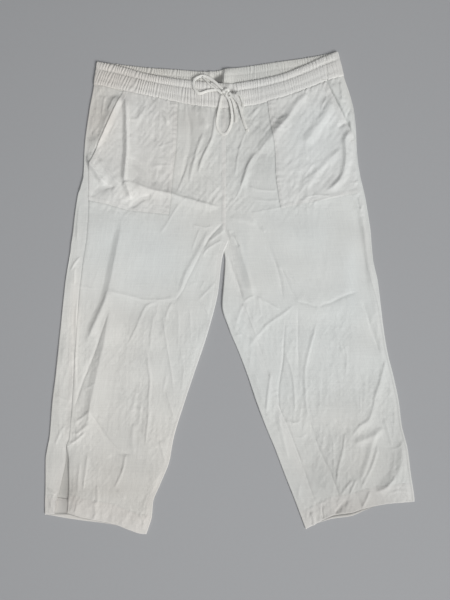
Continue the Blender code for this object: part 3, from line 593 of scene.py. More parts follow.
class CapriSettings(bpy.types.PropertyGroup):
    """Sizes and colours of the garment."""

    wall: FloatProperty(
        name="Cloth wall", description="Thickness of the cloth",
        default=0.0008, min=0.0003, max=0.0015, **LENGTH)
    band_wall: FloatProperty(
        name="Band wall", description="Thickness of the gathered casing with its elastic",
        default=0.0024, min=0.001, max=0.004, **LENGTH)
    gathers: IntProperty(
        name="Gathers", description="Gathers along each half of the waistband", default=96, min=40, max=140)
    gather_height: FloatProperty(
        name="Gather height", description="Height of a full gather over its valleys",
        default=0.0015, min=0.0, max=0.003, **LENGTH)
    fold_scale: FloatProperty(
        name="Folds", description="Scale of every fold's height",
        default=0.9, min=0.0, max=1.5, subtype="FACTOR")
    crumple: FloatProperty(
        name="Crumple", description="Height of the small soft wrinkles between the folds",
        default=0.00046, min=0.0, max=0.001, **LENGTH)
    stitch_length: FloatProperty(
        name="Stitch length", description="Length of one stitch",
        default=0.0026, min=0.0015, max=0.005, **LENGTH)
    tie_width: FloatProperty(
        name="Tie width", description="Width of the drawstring",
        default=0.0052, min=0.002, max=0.008, **LENGTH)
    thread_pitch: FloatProperty(
        name="Thread pitch", description="Distance between neighbouring threads of the weave",
        default=0.0007, min=0.0003, max=0.002, **LENGTH)
    cloth_colour: FloatVectorProperty(
        name="Cloth", description="Colour of the cloth where it is doubled",
        default=(0.79, 0.776, 0.744), **COLOUR)
    single_colour: FloatVectorProperty(
        name="Single cloth", description="Colour of a single layer, which lets some light through",
        default=(0.775, 0.772, 0.74), **COLOUR)
    tie_colour: FloatVectorProperty(
        name="Drawstring", description="Colour of the drawstring", default=(0.85, 0.84, 0.80), **COLOUR)
    # A little darker than the cloth: painted shade for the back band, which lies under the front one.
    inside_colour: FloatVectorProperty(
        name="Inside of the band", description="Colour of the band's inner face",
        default=(0.74, 0.73, 0.69), **COLOUR)
    thread_colour: FloatVectorProperty(
        name="Thread", description="Colour of the sewing thread", default=(0.76, 0.755, 0.72), **COLOUR)
    floor_colour: FloatVectorProperty(
        name="Floor", description="Colour of the floor", default=(0.42, 0.425, 0.435), **COLOUR)


# ---- Curves and heights ----


def to_world(points):
    """Points of the tables' frame, in metres from the garment's middle."""
    return (np.asarray(points, float) - np.array(MIDDLE)) * MM


@functools.lru_cache(maxsize=None)
def field(surface):
    """A surface's heights on an even grid over the whole garment."""
    return surface(*np.meshgrid(FIELD_X, FIELD_Y))


def read_field(surface, x, y):
    """A surface's height at x, y, read between the points of its grid."""
    values = field(surface)
    across = np.clip((x - FIELD_X[0]) / FIELD_STEP, 0.0, len(FIELD_X) - LAST_CELL)
    up = np.clip((y - FIELD_Y[0]) / FIELD_STEP, 0.0, len(FIELD_Y) - LAST_CELL)
    column, row = across.astype(int), up.astype(int)
    right, above = across - column, up - row
    near = values[row, column] * (1 - right) + values[row, column + 1] * right
    far = values[row + 1, column] * (1 - right) + values[row + 1, column + 1] * right
    return near * (1 - above) + far * above


def smooth_step(value):
    """0 below 0 and 1 above 1, with an even slope change between."""
    t = np.clip(value, 0.0, 1.0)
    return t * t * (3.0 - 2.0 * t)


def ramp(value, start, width):
    """0 up to `start` and 1 from a `width` past it; a negative width has the 1 below the start."""
    return smooth_step((value - start) / width)


def bell(off, width):
    """1 in the middle, fading evenly to both sides."""
    return np.exp(-(off / width) ** 2)


def mound(x, y, middle, reach):
    """A bell in both directions."""
    return np.exp(-((x - middle[0]) / reach[0]) ** 2 - ((y - middle[1]) / reach[1]) ** 2)


def read(rows, key, column, at):
    """Value of a table's column where its key column is `at`, on a curve that doesn't overshoot its rows."""
    pairs = sorted((getattr(row, key), getattr(row, column)) for row in rows)
    keys, values = np.array(pairs, float).T
    steps = np.diff(keys)
    rises = np.diff(values) / steps
    slopes = np.zeros(len(keys))
    slopes[0], slopes[-1] = rises[0], rises[-1]
    turns = rises[:-1] * rises[1:] > 0
    sums = np.where(turns, rises[:-1] + rises[1:], 1.0)
    slopes[1:-1] = np.where(turns, 2 * rises[:-1] * rises[1:] / sums, 0.0)
    at = np.clip(np.asarray(at, float), keys[0], keys[-1])
    index = np.clip(np.searchsorted(keys, at) - 1, 0, len(keys) - 2)
    step = steps[index]
    t = (at - keys[index]) / step
    start, end = values[index], values[index + 1]
    return (
        (1 + 2 * t) * (1 - t) ** 2 * start + t * (1 - t) ** 2 * step * slopes[index]
        + t * t * (3 - 2 * t) * end + t * t * (t - 1) * step * slopes[index + 1]
    )


def travel(points):
    """How far along its line, or along its row of a grid, each point is."""
    steps = np.linalg.norm(np.diff(points, axis=-2), axis=-1)
    return np.insert(np.cumsum(steps, axis=-1), 0, 0.0, axis=-1)


def places_along(line, at):
    """Points at given distances along a line."""
    run = travel(line)
    return np.column_stack([np.interp(at, run, column) for column in line.T])


def curve_through(route, spacing):
    """Evenly spaced points on a smooth curve through a route's points."""
    knots = [np.array(point, float) for point in route]
    knots = [2 * knots[0] - knots[1]] + knots + [2 * knots[-1] - knots[-2]]
    fine = []
    for before, start, end, after in zip(knots, knots[1:], knots[2:], knots[3:]):
        bend = 2 * before - 5 * start + 4 * end - after
        twist = 3 * start - before - 3 * end + after
        for t in np.linspace(0.0, 1.0, CURVE_STEPS, endpoint=False):
            fine.append(0.5 * (2 * start + (end - before) * t + bend * t ** 2 + twist * t ** 3))
    fine = np.array(fine + [knots[-2]])
    whole = travel(fine)[-1]
    count = max(2, int(round(whole / spacing)) + 1)
    return places_along(fine, np.linspace(0, whole, count))


def beside(line, x, y):
    """For each point, how far off a line it is, on which side, and how far along, and the line's length."""
    best = np.full(x.shape, 1e9)
    side = np.zeros(x.shape)
    along = np.zeros(x.shape)
    run = 0.0
    for start, end in zip(line[:-1], line[1:]):
        step = end - start
        length = math.hypot(*step)
        dx, dy = x - start[0], y - start[1]
        t = np.clip((dx * step[0] + dy * step[1]) / length ** 2, 0.0, 1.0)
        away = np.hypot(dx - t * step[0], dy - t * step[1])
        nearer = away < best
        best = np.where(nearer, away, best)
        side = np.where(nearer, step[0] * dy - step[1] * dx, side)
        along = np.where(nearer, run + t * length, along)
        run += length
    return best, np.sign(side), along, run


def fold_height(fold, x, y):
    """Height that one fold adds at x, y. Towards both ends of its run it narrows as it gets lower."""
    line = curve_through(fold.run, FOLD_SPACING)
    reach = max(FOLD_REACH, 2.0 * max(fold.east, fold.west))
    low, high = line.min(axis=0) - reach, line.max(axis=0) + reach
    near = (x > low[0]) & (x < high[0]) & (y > low[1]) & (y < high[1])
    rise = np.zeros(x.shape)
    if not near.any():
        return rise
    away, side, along, run = beside(line, x[near], y[near])
    chord = line[-1] - line[0]
    if -chord[1] - 0.45 * chord[0] < 0:
        side = -side
    ends = smooth_step(along / run * FOLD_TAPER) * smooth_step((1 - along / run) * FOLD_TAPER)
    width = np.where(side > 0, fold.east, fold.west) * (0.3 + 0.42 * ends)
    foot = np.minimum(width * 5.0, FOLD_REACH)
    straight = np.clip(1.0 - away / width, 0.0, 1.0) ** 1.25
    hollow = np.clip(1.0 - away / foot, 0.0, 1.0) ** 1.5
    crisp = 0.5 * ramp(width, 10.0, -5.0) * (1 - fold.soft)
    slope = (1 - crisp) * straight + crisp * hollow
    rise[near] = fold.height * ends * ((1 - fold.soft) * slope + fold.soft * bell(1.25 * away, width))
    return rise


def all_folds(x, y):
    return sum(fold_height(fold, x, y) for fold in FOLDS)


def waves(x, y, length, seed, turn=0.0, stretch=1.0):
    """A smooth random surface of waves about `length` long, with values mostly between -1 and 1."""
    rng = np.random.default_rng(seed)
    u = (x * math.cos(turn) + y * math.sin(turn)) / stretch
    v = -x * math.sin(turn) + y * math.cos(turn)
    total = np.zeros(np.shape(x))
    for _ in range(WAVE_COUNT):
        angle = rng.uniform(0, math.pi)
        rate = 2 * math.pi / (length * rng.uniform(0.7, 1.5))
        start = rng.uniform(0, 2 * math.pi)
        total = total + np.cos(rate * (u * math.cos(angle) + v * math.sin(angle)) + start)
    return total / math.sqrt(WAVE_COUNT / 2) / 1.6


def ridges(x, y, length, seed, turn, stretch):
    """Sharp crests that wander between sloping facets, drawn out along one direction."""
    return 1 - 1.25 * np.abs(waves(x, y, length, seed, turn, stretch))


def back_seam(x):
    return np.interp(x, *zip(*BACK_SEAM))


class Leg:
    """One leg's tables, and the heights and widths read from them."""

    def __init__(self, name, out, levels, hem, pocket):
        self.name, self.out, self.levels, self.hem, self.pocket = name, out, levels, hem, pocket

    def x(self, column, y):
        return read(self.levels, "y", column, y)

    def front_top(self, x):
        return read(WAIST, "x", "seam", x) + 0.8

    def back_top(self, x):
        return back_seam(x) - 0.3

    def front_hem(self, x):
        return read(self.hem, "x", "front", x)

    def back_hem(self, x):
        return read(self.hem, "x", "back", x)

    def pocket_foot(self, x):
        return np.interp(x, *zip(*self.pocket.lower_edge))

    def vent_depth(self, y):
        """How far below the vent's tack a height is; only the right leg has one."""
        return np.maximum(0.0, VENT_TOP - y) if self.out < 0 else np.zeros(np.shape(y))


RIGHT = Leg("right", -1, RIGHT_LEVELS, RIGHT_HEM, RIGHT_POCKET)
LEFT = Leg("left", 1, LEFT_LEVELS, LEFT_HEM, LEFT_POCKET)
LEGS = (RIGHT, LEFT)


def outer_radius(leg, y):
    """Radius the cloth turns on at the outer fold edge, uneven down the leg."""
    y = np.asarray(y, float)
    near_waist = smooth_step(1 - (leg.front_top(leg.x("outer", y)) - y) / WAIST_EASE)
    loose = 0.9 + 0.5 * np.sin(y / 47.0 + leg.out) + 0.4 * np.sin(y / 19.0 + 2.0)
    return EDGE_RADIUS + (WAIST_RADIUS - EDGE_RADIUS) * near_waist + loose * (1 - near_waist) * 0.35


def inner_radius(leg, y):
    """Radius the cloth turns on at the inner fold edge, where the legs stand up a little from the surface."""
    y = np.asarray(y, float)
    near_waist = ramp(y, 300.0, WAIST_EASE)
    standing = ramp(y, CROTCH_Y, -50.0) * (0.5 + 0.5 * ramp(y, -330.0, 220.0))
    loose = 0.4 + 0.4 * np.sin(y / 33.0 + 2 * leg.out)
    return EDGE_RADIUS + (WAIST_RADIUS - EDGE_RADIUS) * near_waist + standing * loose


def waist_tucks(x, y):
    """Short tucks that the gathered band draws into the panels under it, each of its own length and lean."""
    rng = np.random.default_rng(11)
    below = read(WAIST, "x", "seam", x) - y
    rise = np.zeros(x.shape)
    start, end = WAIST_TUCKS
    while start < end:
        start += rng.uniform(4.0, 9.0)
        length = rng.uniform(12.0, 34.0) * (2.0 if rng.uniform() > 0.78 else 1.0)
        lean = (start + 20.0) / 900.0 + rng.uniform(-0.16, 0.16)
        width = rng.uniform(1.9, 3.2)
        height = rng.uniform(0.5, 1.6)
        off = x - start + lean * below
        fade = np.clip(1 - below / length, 0.0, 1.0) ** 1.5 * (below > -4)
        rise += height * bell(off, width + 0.05 * np.abs(below)) * fade
    return rise


def puckers(line, x, y, spacing, reach, height, seed):
    """Small uneven ripples across a stitched line, which the tight thread draws up."""
    away, _, along, _ = beside(line, x, y)
    uneven = 0.5 + 0.4 * np.sin(along / 37.0 + seed) + 0.4 * np.sin(along / 11.0 + 2.3 * seed)
    reach = reach * (0.75 + 0.35 * np.sin(along / 16.0 + 2 * seed))
    phase = 2 * math.pi * along / spacing + 2.0 * np.sin(along / 23.0 + seed) + 1.6 * np.sin(along / 9.1)
    return height * uneven * np.cos(phase) * bell(away, reach)


def seam_line(leg, column, low, high, offset=0.0):
    """A seam down a leg, from one height to another, `offset` away from its column towards the outer edge."""
    ys = np.linspace(high, low, 60)
    return np.column_stack((leg.x(column, ys) + leg.out * offset, ys))


def hem_line(leg, which, above):
    """A line along a hem, `above` its edge."""
    xs = np.linspace(leg.x("outer", -440.0), leg.x("inner", INNER_HEM_Y), 40)
    return np.column_stack((xs, read(leg.hem, "x", which, xs) + above))


def sewn_relief(leg, x, y):
    """What the sewing does to the upper layer: seam allowances, the hem's doubled cloth, grooves and puckers.

    The centre seam's allowances are both pressed towards the right leg.
    """
    side = leg.out * (x - leg.x("side", y))
    inseam = -leg.out * (x - leg.x("inseam", y))
    above_hem = y - leg.front_hem(x)
    closed = smooth_step(1 - leg.vent_depth(y) / 10.0)
    at_centre = ramp(y, CROTCH_Y, 10.0)
    pressed = ALLOWANCE_STEP + at_centre * (0.3 if leg.out < 0 else -ALLOWANCE_STEP)
    trimmed = ALLOWANCE - CENTRE_TRIM * at_centre
    rise = 0.0
    for off, height, reach in ((side, ALLOWANCE_STEP, ALLOWANCE), (inseam, pressed, trimmed)):
        flat = ramp(np.abs(off), reach + 1.0, -2.2) * (off < 0)
        rise = rise + (height * flat - SEAM_GROOVE * bell(off, 1.2)) * closed
    rise = rise + 0.3 * ramp(above_hem, HEM_DEPTH + 0.6, -1.6) - 0.3 * bell(above_hem - HEM_DEPTH, 1.3)
    rise = rise - 1.1 * bell(leg.front_top(x) - y, 1.7)
    # Each stitched line with its ripples' spacing, reach, height and seed.
    puckered = (
        (seam_line(leg, "side", -300, 400), 13.0, 9.0, 0.20, 1.0),
        (seam_line(leg, "inseam", INNER_HEM_Y, 360), 15.0, 9.0, 0.18, 4.0),
        (hem_line(leg, "front", HEM_DEPTH), 11.0, 7.0, 0.2, 7.0),
        (hem_line(leg, "front", HEM_DEPTH / 2), 27.0, 17.0, 0.55, 3.0),
    )
    for line, spacing, reach, height, seed in puckered:
        rise = rise + puckers(line, x, y, spacing, reach, height, seed + leg.out)
    return rise


def mouth_line(leg):
    """The two ends of the pocket's mouth, and the direction along it from the waist down."""
    top, low = (np.array(point, float) for point in (leg.pocket.mouth_top, leg.pocket.mouth_low))
    return top, low, (low - top) / np.linalg.norm(low - top)


def beyond_mouth(leg, x, y):
    """How far a place is outwards from the line of the pocket's mouth."""
    top, _, along = mouth_line(leg)
    outwards = np.array((-along[1], along[0])) * np.sign(-along[1] * leg.out)
    return (x - top[0]) * outwards[0] + (y - top[1]) * outwards[1]


def mouth_relief(leg, x, y):
    """The panel's cloth under the pocket's mouth: it sinks by the edge and swells beside it."""
    beyond = beyond_mouth(leg, x, y)
    (_, top), (_, low) = leg.pocket.mouth_top, leg.pocket.mouth_low
    open_part = ramp(y, top, -14.0) * ramp(y, low, 14.0)
    ditch = -1.2 * bell(beyond - 0.5, 1.6)
    swell = 3.2 * ramp(beyond, 0.6, 4.4) * bell(np.maximum(0.0, beyond - 5.0), 9.0)
    return open_part * (ditch + swell) * (1.0 if leg.out > 0 else 0.35)


def crumple(x, y):
    """Small crisp wrinkles, smoother on the thighs and busier on the shins, the pockets and at the hips."""
    upper = ramp(y, 130.0, 50.0)
    at_hem = ramp(y, -395.0, -25.0)
    busy = 0.34 + 0.86 * ramp(y, -10.0, -50.0) + 0.65 * upper
    busy = busy - 0.3 * ramp(y, -260.0, -60.0) + 0.45 * at_hem
    busy = busy + 0.4 * ramp(y, -190.0, -80.0) * ramp(x, 0.0, 60.0)
    uneven = np.clip(0.75 + 0.45 * waves(x, y, 120.0, 31), 0.25, 1.3)
    slanted = ridges(x, y, *SLANTED) * (0.2 + 0.8 * upper)
    crosswise = ridges(x, y, *CROSSWISE) * (0.28 + 0.22 * upper)
    small = 0.62 * ridges(x, y, *LENGTHWISE) + 0.8 * slanted + 0.9 * crosswise
    small = small + 0.24 * waves(x, y, *FINE) + 0.35 * (ridges(x, y, *SHORT) * at_hem)
    return busy * uneven * small * 1.25 + 1.7 * waves(x, y, 80.0, 8)


def crotch_lap(leg, x, y):
    """Where the legs part the right one laps over the left."""
    return -1.5 * leg.out * mound(x, y, (-3.0, 98.0), (11.0, 17.0))


def lie(leg, x, y, settings):
    """Height of the middle of the upper layer's wall over the surface."""
    x, y = np.asarray(x, float), np.asarray(y, float)
    half = settings.wall / MM / 2
    from_outer = np.abs(x - leg.x("outer", y))
    from_inner = np.abs(x - leg.x("inner", y)) + 0.8 * np.maximum(0.0, y - CROTCH_Y)
    across = smooth_step(from_outer / (from_outer + from_inner + 1e-6))
    radius = outer_radius(leg, y) * (1 - across) + inner_radius(leg, y) * across
    inward = ramp(np.minimum(from_outer, from_inner), 2.0, EDGE_EASE)
    folds = read_field(all_folds, x, y) * settings.fold_scale
    rise = PUFF + ramp(y, leg.front_top(x), -14.0) * folds + settings.crumple / MM * read_field(crumple, x, y)
    tucks = read_field(waist_tucks, x, y) * ramp(from_outer, 4.0, 12.0)
    vent_edge = bell(leg.out * (x - leg.x("side", y)), 7.0) * ramp(leg.vent_depth(y), 0.0, 14.0)
    sewn = sewn_relief(leg, x, y) + mouth_relief(leg, x, y) + tucks + crotch_lap(leg, x, y) - 1.3 * vent_edge
    return np.maximum(half + 2 * radius + inward * rise + (0.35 + 0.65 * inward) * sewn, LOWEST_LIE)


# ---- Meshes ----


def grid_faces(rows, columns, closed=False):
    """Corner numbers of the quads of a grid, which may close on itself across its columns."""
    r, c = np.meshgrid(np.arange(rows - 1), np.arange(columns if closed else columns - 1), indexing="ij")
    here, above, after = r * columns, (r + 1) * columns, (c + 1) % columns
    return np.stack((here + c, here + after, above + after, above + c), -1).reshape(-1, 4)


def facing(rows, turn):
    """Unit normals of a grid of points; `turn` is 1 or -1."""
    normal = np.cross(np.gradient(rows, axis=1), np.gradient(rows, axis=0)) * turn
    return normal / (np.linalg.norm(normal, axis=2, keepdims=True) + 1e-9)


def patches(x, y):
    """How much darker (paler where negative) and how much cooler the cloth is at a place: partly its own tone,
    partly painted shade and painted light.
    """
    shade, cool = np.zeros(x.shape), np.zeros(x.shape)
    for patch in PATCHES:
        near = mound(x, y, (patch.x, patch.y), (patch.across, patch.down))
        shade, cool = shade + patch.shade * near, cool + patch.cool * near
    return shade, np.clip(cool, -1.0, 1.0)


def new_piece(name, points, faces, material, cut=None, **attributes):
    """A smooth object from points in metres; `cut` is each one's place on the flat cloth, in millimetres."""
    mesh = bpy.data.meshes.new(name)
    mesh.from_pydata(points, [], faces)
    if cut is not None:
        corners = np.zeros(len(mesh.loops), np.int32)
        mesh.loops.foreach_get("vertex_index", corners)
        layer = mesh.uv_layers.new(name="cut")
        layer.data.foreach_set("uv", (cut[corners] * MM).astype(np.float32).ravel())
    for attribute, values in attributes.items():
        mesh.attributes.new(attribute, "FLOAT", "POINT").data.foreach_set("value", values.astype(np.float32))
    mesh.shade_smooth()
    mesh.materials.append(material)
    piece = bpy.data.objects.new(name, mesh)
    bpy.context.scene.collection.objects.link(piece)
    return piece


def cloth_mesh(name, rows, cut, doubled, material, turn=1, wall=0.0, closed=False, darker=0.0):
    """An object from a grid of points: `cut` is each point's place on the flat cloth, `doubled` its layers.

    With a wall the surface is moved out by half of it, and a rim as deep as the wall goes round the edges.
    `darker` is painted shade that each point gets on top of the patches' shade.
    """
    count, width = rows.shape[:2]
    faces = grid_faces(count, width, closed)
    points, cut, doubled = rows.reshape(-1, 3), cut.reshape(-1, 2), np.ravel(doubled)
    darker = np.ravel(np.broadcast_to(darker, (count, width)))
    if wall:
        offset = (facing(rows, turn) * wall / 2).reshape(-1, 3)
        index = np.arange(count * width).reshape(count, width)
        rim = np.concatenate((index[0, :-1], index[:-1, -1], index[-1, :0:-1], index[:0:-1, 0]))
        ring = len(points) + np.arange(len(rim))
        after = np.roll(ring, -1)
        faces = np.concatenate((faces, np.stack((ring, ring + len(rim), after + len(rim), after), -1)))
        points = np.concatenate((points + offset, (points + offset)[rim], (points - offset)[rim]))
        cut, doubled, darker = (np.concatenate((v, v[rim], v[rim])) for v in (cut, doubled, darker))
    faces = (faces[:, ::-1] if turn < 0 else faces).tolist()
    if closed:
        last = (count - 1) * width
        faces += [list(range(width))[::-1], [last + c for c in range(width)]]
    shade, cool = patches(points[:, 0], points[:, 1])
    points = to_world(points).tolist()
    return new_piece(name, points, faces, material, cut, doubled=doubled, shade=shade + darker, cool=cool)


def wear(piece, slot, *nodes):
    """Puts a piece on the garment's body, in place of its solids; its slot is not used."""
    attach(piece, BODY)
    if nodes:
        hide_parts(*nodes)


def turned_up(rows, inside, wall):
    """A grid with its last rows turned round its last edge and laid back inside by the hem's depth."""
    hem = rows[-HEM_ROWS:]
    normal = facing(hem, inside)
    down = hem[-1] - hem[-2]
    sewn = smooth_step(np.linspace(0.0, 4.0, len(hem)))[:, None, None]
    back = hem + normal * (wall * (0.15 + 0.85 * sewn) + HEM_STAND * sewn)
    edge_step = down / (np.linalg.norm(down, axis=1, keepdims=True) + 1e-9)
    turn = hem[-1] + normal[-1] * (wall + HEM_STAND) / 2 + edge_step * 0.5
    return np.concatenate((rows, turn[None], back[::-1]))


# ---- Panels and pockets ----


def front_grid(leg, settings):
    """The front panel's points, row by row from the waist seam to the hem, side seam to centre."""

    def column_x(zone, part, y):
        side = leg.x("side", y) - leg.out * SEAM_GAP
        guide = leg.x("guide", y)
        inner = leg.x("inseam", y) + leg.out * SEAM_GAP
        return side + (guide - side) * part if zone == "side" else guide + (inner - guide) * part

    def where_it_meets(edge, zone, part, y):
        for _ in range(SETTLING):
            y = float(edge(column_x(zone, part, y)))
        return y

    shares = [("side", i / SIDE_COLUMNS) for i in range(SIDE_COLUMNS)]
    shares += [("centre", i / CENTRE_COLUMNS) for i in range(CENTRE_COLUMNS + 1)]
    columns = []
    for zone, part in shares:
        top = where_it_meets(leg.front_top, zone, part, 400.0)
        foot = where_it_meets(leg.pocket_foot, zone, part, 180.0)
        hem = where_it_meets(leg.front_hem, zone, part, -450.0)
        heights = np.concatenate((
            np.linspace(top, foot, POCKET_ROWS, endpoint=False),
            np.linspace(foot, hem + HEM_DEPTH, LEG_ROWS, endpoint=False),
            np.linspace(hem + HEM_DEPTH, hem, HEM_ROWS)))
        columns.append(np.column_stack((column_x(zone, part, heights), heights)))
    flat = np.array(columns).transpose(1, 0, 2)
    return np.dstack((flat, lie(leg, flat[..., 0], flat[..., 1], settings)))


def grain(leg, rows):
    """Places on the flat cloth, with the lengthwise threads along the leg's own line."""
    return np.dstack((rows[..., 0] - leg.x("guide", rows[..., 1]), rows[..., 1] * DRAPE))


def in_hem(hem, y):
    """1 where the hem is doubled, 0 above it."""
    return ramp(HEM_DEPTH - y + hem, 0.0, LAYER_EDGE)


def front_doubled(leg, rows):
    """Where the front has two layers or more: its hem and its seam allowances."""
    x, y = rows[..., 0], rows[..., 1]
    side, inseam = (np.abs(x - leg.x(column, y)) for column in ("side", "inseam"))
    at_seam = np.maximum(ramp(side, ALLOWANCE, -LAYER_EDGE), ramp(inseam, ALLOWANCE, -LAYER_EDGE))
    at_centre = ramp(y, CROTCH_Y, 10.0) * ramp(inseam, ALLOWANCE - CENTRE_TRIM, -LAYER_EDGE)
    seams = np.where(leg.out < 0, at_centre, 0.25 * at_seam * (y < CROTCH_Y))
    return np.maximum(in_hem(leg.front_hem(x), y), seams)


def pocket_edge_lines(leg):
    """The pocket's sewn edges: down its inner side and along its lower edge."""
    top = float(read(WAIST, "x", "seam", leg.x("guide", 390.0)))
    low = float(leg.pocket_foot(leg.x("guide", 160.0)))
    xs = np.linspace(leg.x("guide", low), leg.x("side", 190.0), 30)
    return seam_line(leg, "guide", low, top), np.column_stack((xs, leg.pocket_foot(xs)))


def from_pocket_edge(leg, x, y):
    """How far a place is from the nearest of the pocket's sewn edges."""
    return np.minimum(*(beside(line, x, y)[0] for line in pocket_edge_lines(leg)))


def painted_edge_shadow(leg, rows):
    """Painted shadow on the panel: narrow dark lines round its pocket's sewn edges and down its side seam."""
    x, y = rows[..., 0], rows[..., 1]
    seam = bell(x - leg.x("side", y), 2.0) * ramp(y, 195.0, -8.0)
    return (0.22 if leg.out < 0 else 0.1) * (bell(from_pocket_edge(leg, x, y), 2.2) + 1.5 * seam)


def make_front(leg, settings, material):
    """The front panel, its hem turned up."""
    rows = front_grid(leg, settings)
    wall = settings.wall / MM
    full = turned_up(rows, -leg.out, wall)
    piece = cloth_mesh(
        leg.name + "_front_panel", full, grain(leg, full), front_doubled(leg, full), material, turn=leg.out,
        wall=wall, darker=painted_edge_shadow(leg, full))
    wear(piece, "cloth", "front_" + leg.name)
    wide = float(np.ptp(rows[..., 0] - leg.x("guide", rows[..., 1]))) * MM + FRONT_ALLOWANCES


def back_grid(leg, settings):
    """The back panel's points, each row from the side seam round the outer fold to the inseam or centre seam.

    Past the part that lies on the floor, a row goes round the inner fold and up on the leg. Above the crotch
    it goes straight on to the centre seam.
    """
    out = leg.out
    half = settings.wall / MM / 2
    lowest = half + FLOOR_GAP

    def level(x, share, upper_side):
        top, hem = (leg.front_top(x), leg.front_hem(x)) if upper_side else (leg.back_top(x), leg.back_hem(x))
        return top + (hem - top) * share

    def edge_point(column, share, upper_side=False):
        x = leg.x(column, 0.0 * share)
        for _ in range(SETTLING):
            x = leg.x(column, level(x, share, upper_side))
        return x, level(x, share, upper_side)

    top = float(leg.back_top(leg.x("inner", CROTCH_Y)))
    hem = float(leg.back_hem(leg.x("inner", INNER_HEM_Y)))
    split = (top - CROTCH_Y) / (top - hem)
    clear = CROTCH_CLEARANCE / (top - hem)
    hem_share = 1.0 - HEM_DEPTH / (top - hem)
    shares = np.concatenate((
        np.linspace(0.0, split - clear, BACK_RISE_ROWS),
        np.linspace(split + clear, hem_share, BACK_LEG_ROWS, endpoint=False),
        np.linspace(hem_share, 1.0, HEM_ROWS)))
    outer, outer_y = edge_point("outer", shares)
    inner, inner_y = edge_point("inner", shares)
    seam = edge_point("back_side", shares, True)[0] + out * SEAM_GAP

    def strip_y(x):
        return level(x, shares, True) + inner_y - level(inner, shares, True)

    inseam = inner
    for _ in range(SETTLING):
        inseam = leg.x("inseam", strip_y(inseam)) - out * SEAM_GAP
    radius = outer_radius(leg, outer_y)
    turn = outer - out * (radius + half)
    angles = np.linspace(math.pi / 2, -math.pi / 2, FOLD_STEPS + 1)
    columns = []

    for part in np.linspace(0.0, 1.0, STRIP_COLUMNS, endpoint=False):
        x = seam + (turn - seam) * part
        y = level(x, shares, True)
        columns.append((x, y, lie(leg, x, y, settings)))
    rise = (lie(leg, turn, level(turn, shares, True), settings) - lowest) / 2
    for angle in angles:
        x = turn + out * radius * math.cos(angle)
        columns.append((x, outer_y, lowest + rise + rise * math.sin(angle)))
    folded = inner_y <= CROTCH_Y
    inner_r = inner_radius(leg, inner_y)
    inner_turn = np.where(folded, inner + out * (inner_r + half), inner + out * 0.2 + out * CENTRE_SPREAD)
    for part in np.linspace(0.0, 1.0, FLOOR_COLUMNS + 1)[1:]:
        x = turn + (inner_turn - turn) * part
        y = level(x, shares, False)
        curl = 3.2 * ramp(y, leg.front_hem(x) + 1.0, -4.5) * bell(x - 222.0, 36.0)
        columns.append((x, y, lowest + curl))
    edge_z = np.where(folded, lie(leg, inner_turn, strip_y(inner_turn), settings), lowest)
    inner_rise = (edge_z - lowest) / 2
    rest = FOLD_STEPS + INNER_COLUMNS
    for number, angle in enumerate(-angles[1:], 1):
        straight = inner_turn - out * CENTRE_SPREAD * number / rest
        x = np.where(folded, inner_turn - out * inner_r * math.cos(angle), straight)
        y = np.where(folded, inner_y, level(x, shares, False))
        columns.append((x, y, lowest + inner_rise + inner_rise * math.sin(angle) * folded))
    for number, part in enumerate(np.linspace(0.0, 1.0, INNER_COLUMNS + 1)[1:], FOLD_STEPS + 1):
        straight = inner_turn - out * CENTRE_SPREAD * number / rest
        x = np.where(folded, inner_turn + (inseam - inner_turn) * part, straight)
        y = np.where(folded, strip_y(x), level(x, shares, False))
        columns.append((x, y, np.where(folded, lie(leg, x, y, settings), lowest)))
    return np.array(columns).transpose(2, 0, 1)


def painted_inside_shadow(leg, rows):
    """Painted shadow on the back's inner face where it shows in the vent and past the front's hem."""
    x, y = rows[..., 0], rows[..., 1]
    floor_part = np.zeros(x.shape)
    start = STRIP_COLUMNS + FOLD_STEPS + 1
    floor_part[:, start:start + FLOOR_COLUMNS] = 1.0
    past_hem = y - leg.front_hem(x)
    under = (0.06 + 0.2 * ramp(x, -354.0, 34.0)) * ramp(past_hem, -4.0, 3.0)
    return floor_part * (under + 0.34 * bell(past_hem + 1.2, 1.8))


def make_back(leg, settings, material):
    """The back panel, round both fold edges, its hem turned up."""
    rows = back_grid(leg, settings)
    wall = settings.wall / MM
    full = turned_up(rows, leg.out, wall)
    around = travel(rows)
    around = np.concatenate((around, around[-1:], around[-HEM_ROWS:][::-1]))
    cut = np.dstack((around, full[..., 1] * DRAPE))
    near_seam = ramp(np.minimum(around, around[:, -1:] - around), ALLOWANCE, -LAYER_EDGE)
    doubled = np.maximum(in_hem(leg.back_hem(full[..., 0]), full[..., 1]), 0.35 * near_seam)
    piece = cloth_mesh(
        leg.name + "_back_panel", full, cut, doubled, material, turn=-leg.out, wall=wall,
        darker=painted_inside_shadow(leg, full))
    wear(piece, "cloth", "back_" + leg.name)


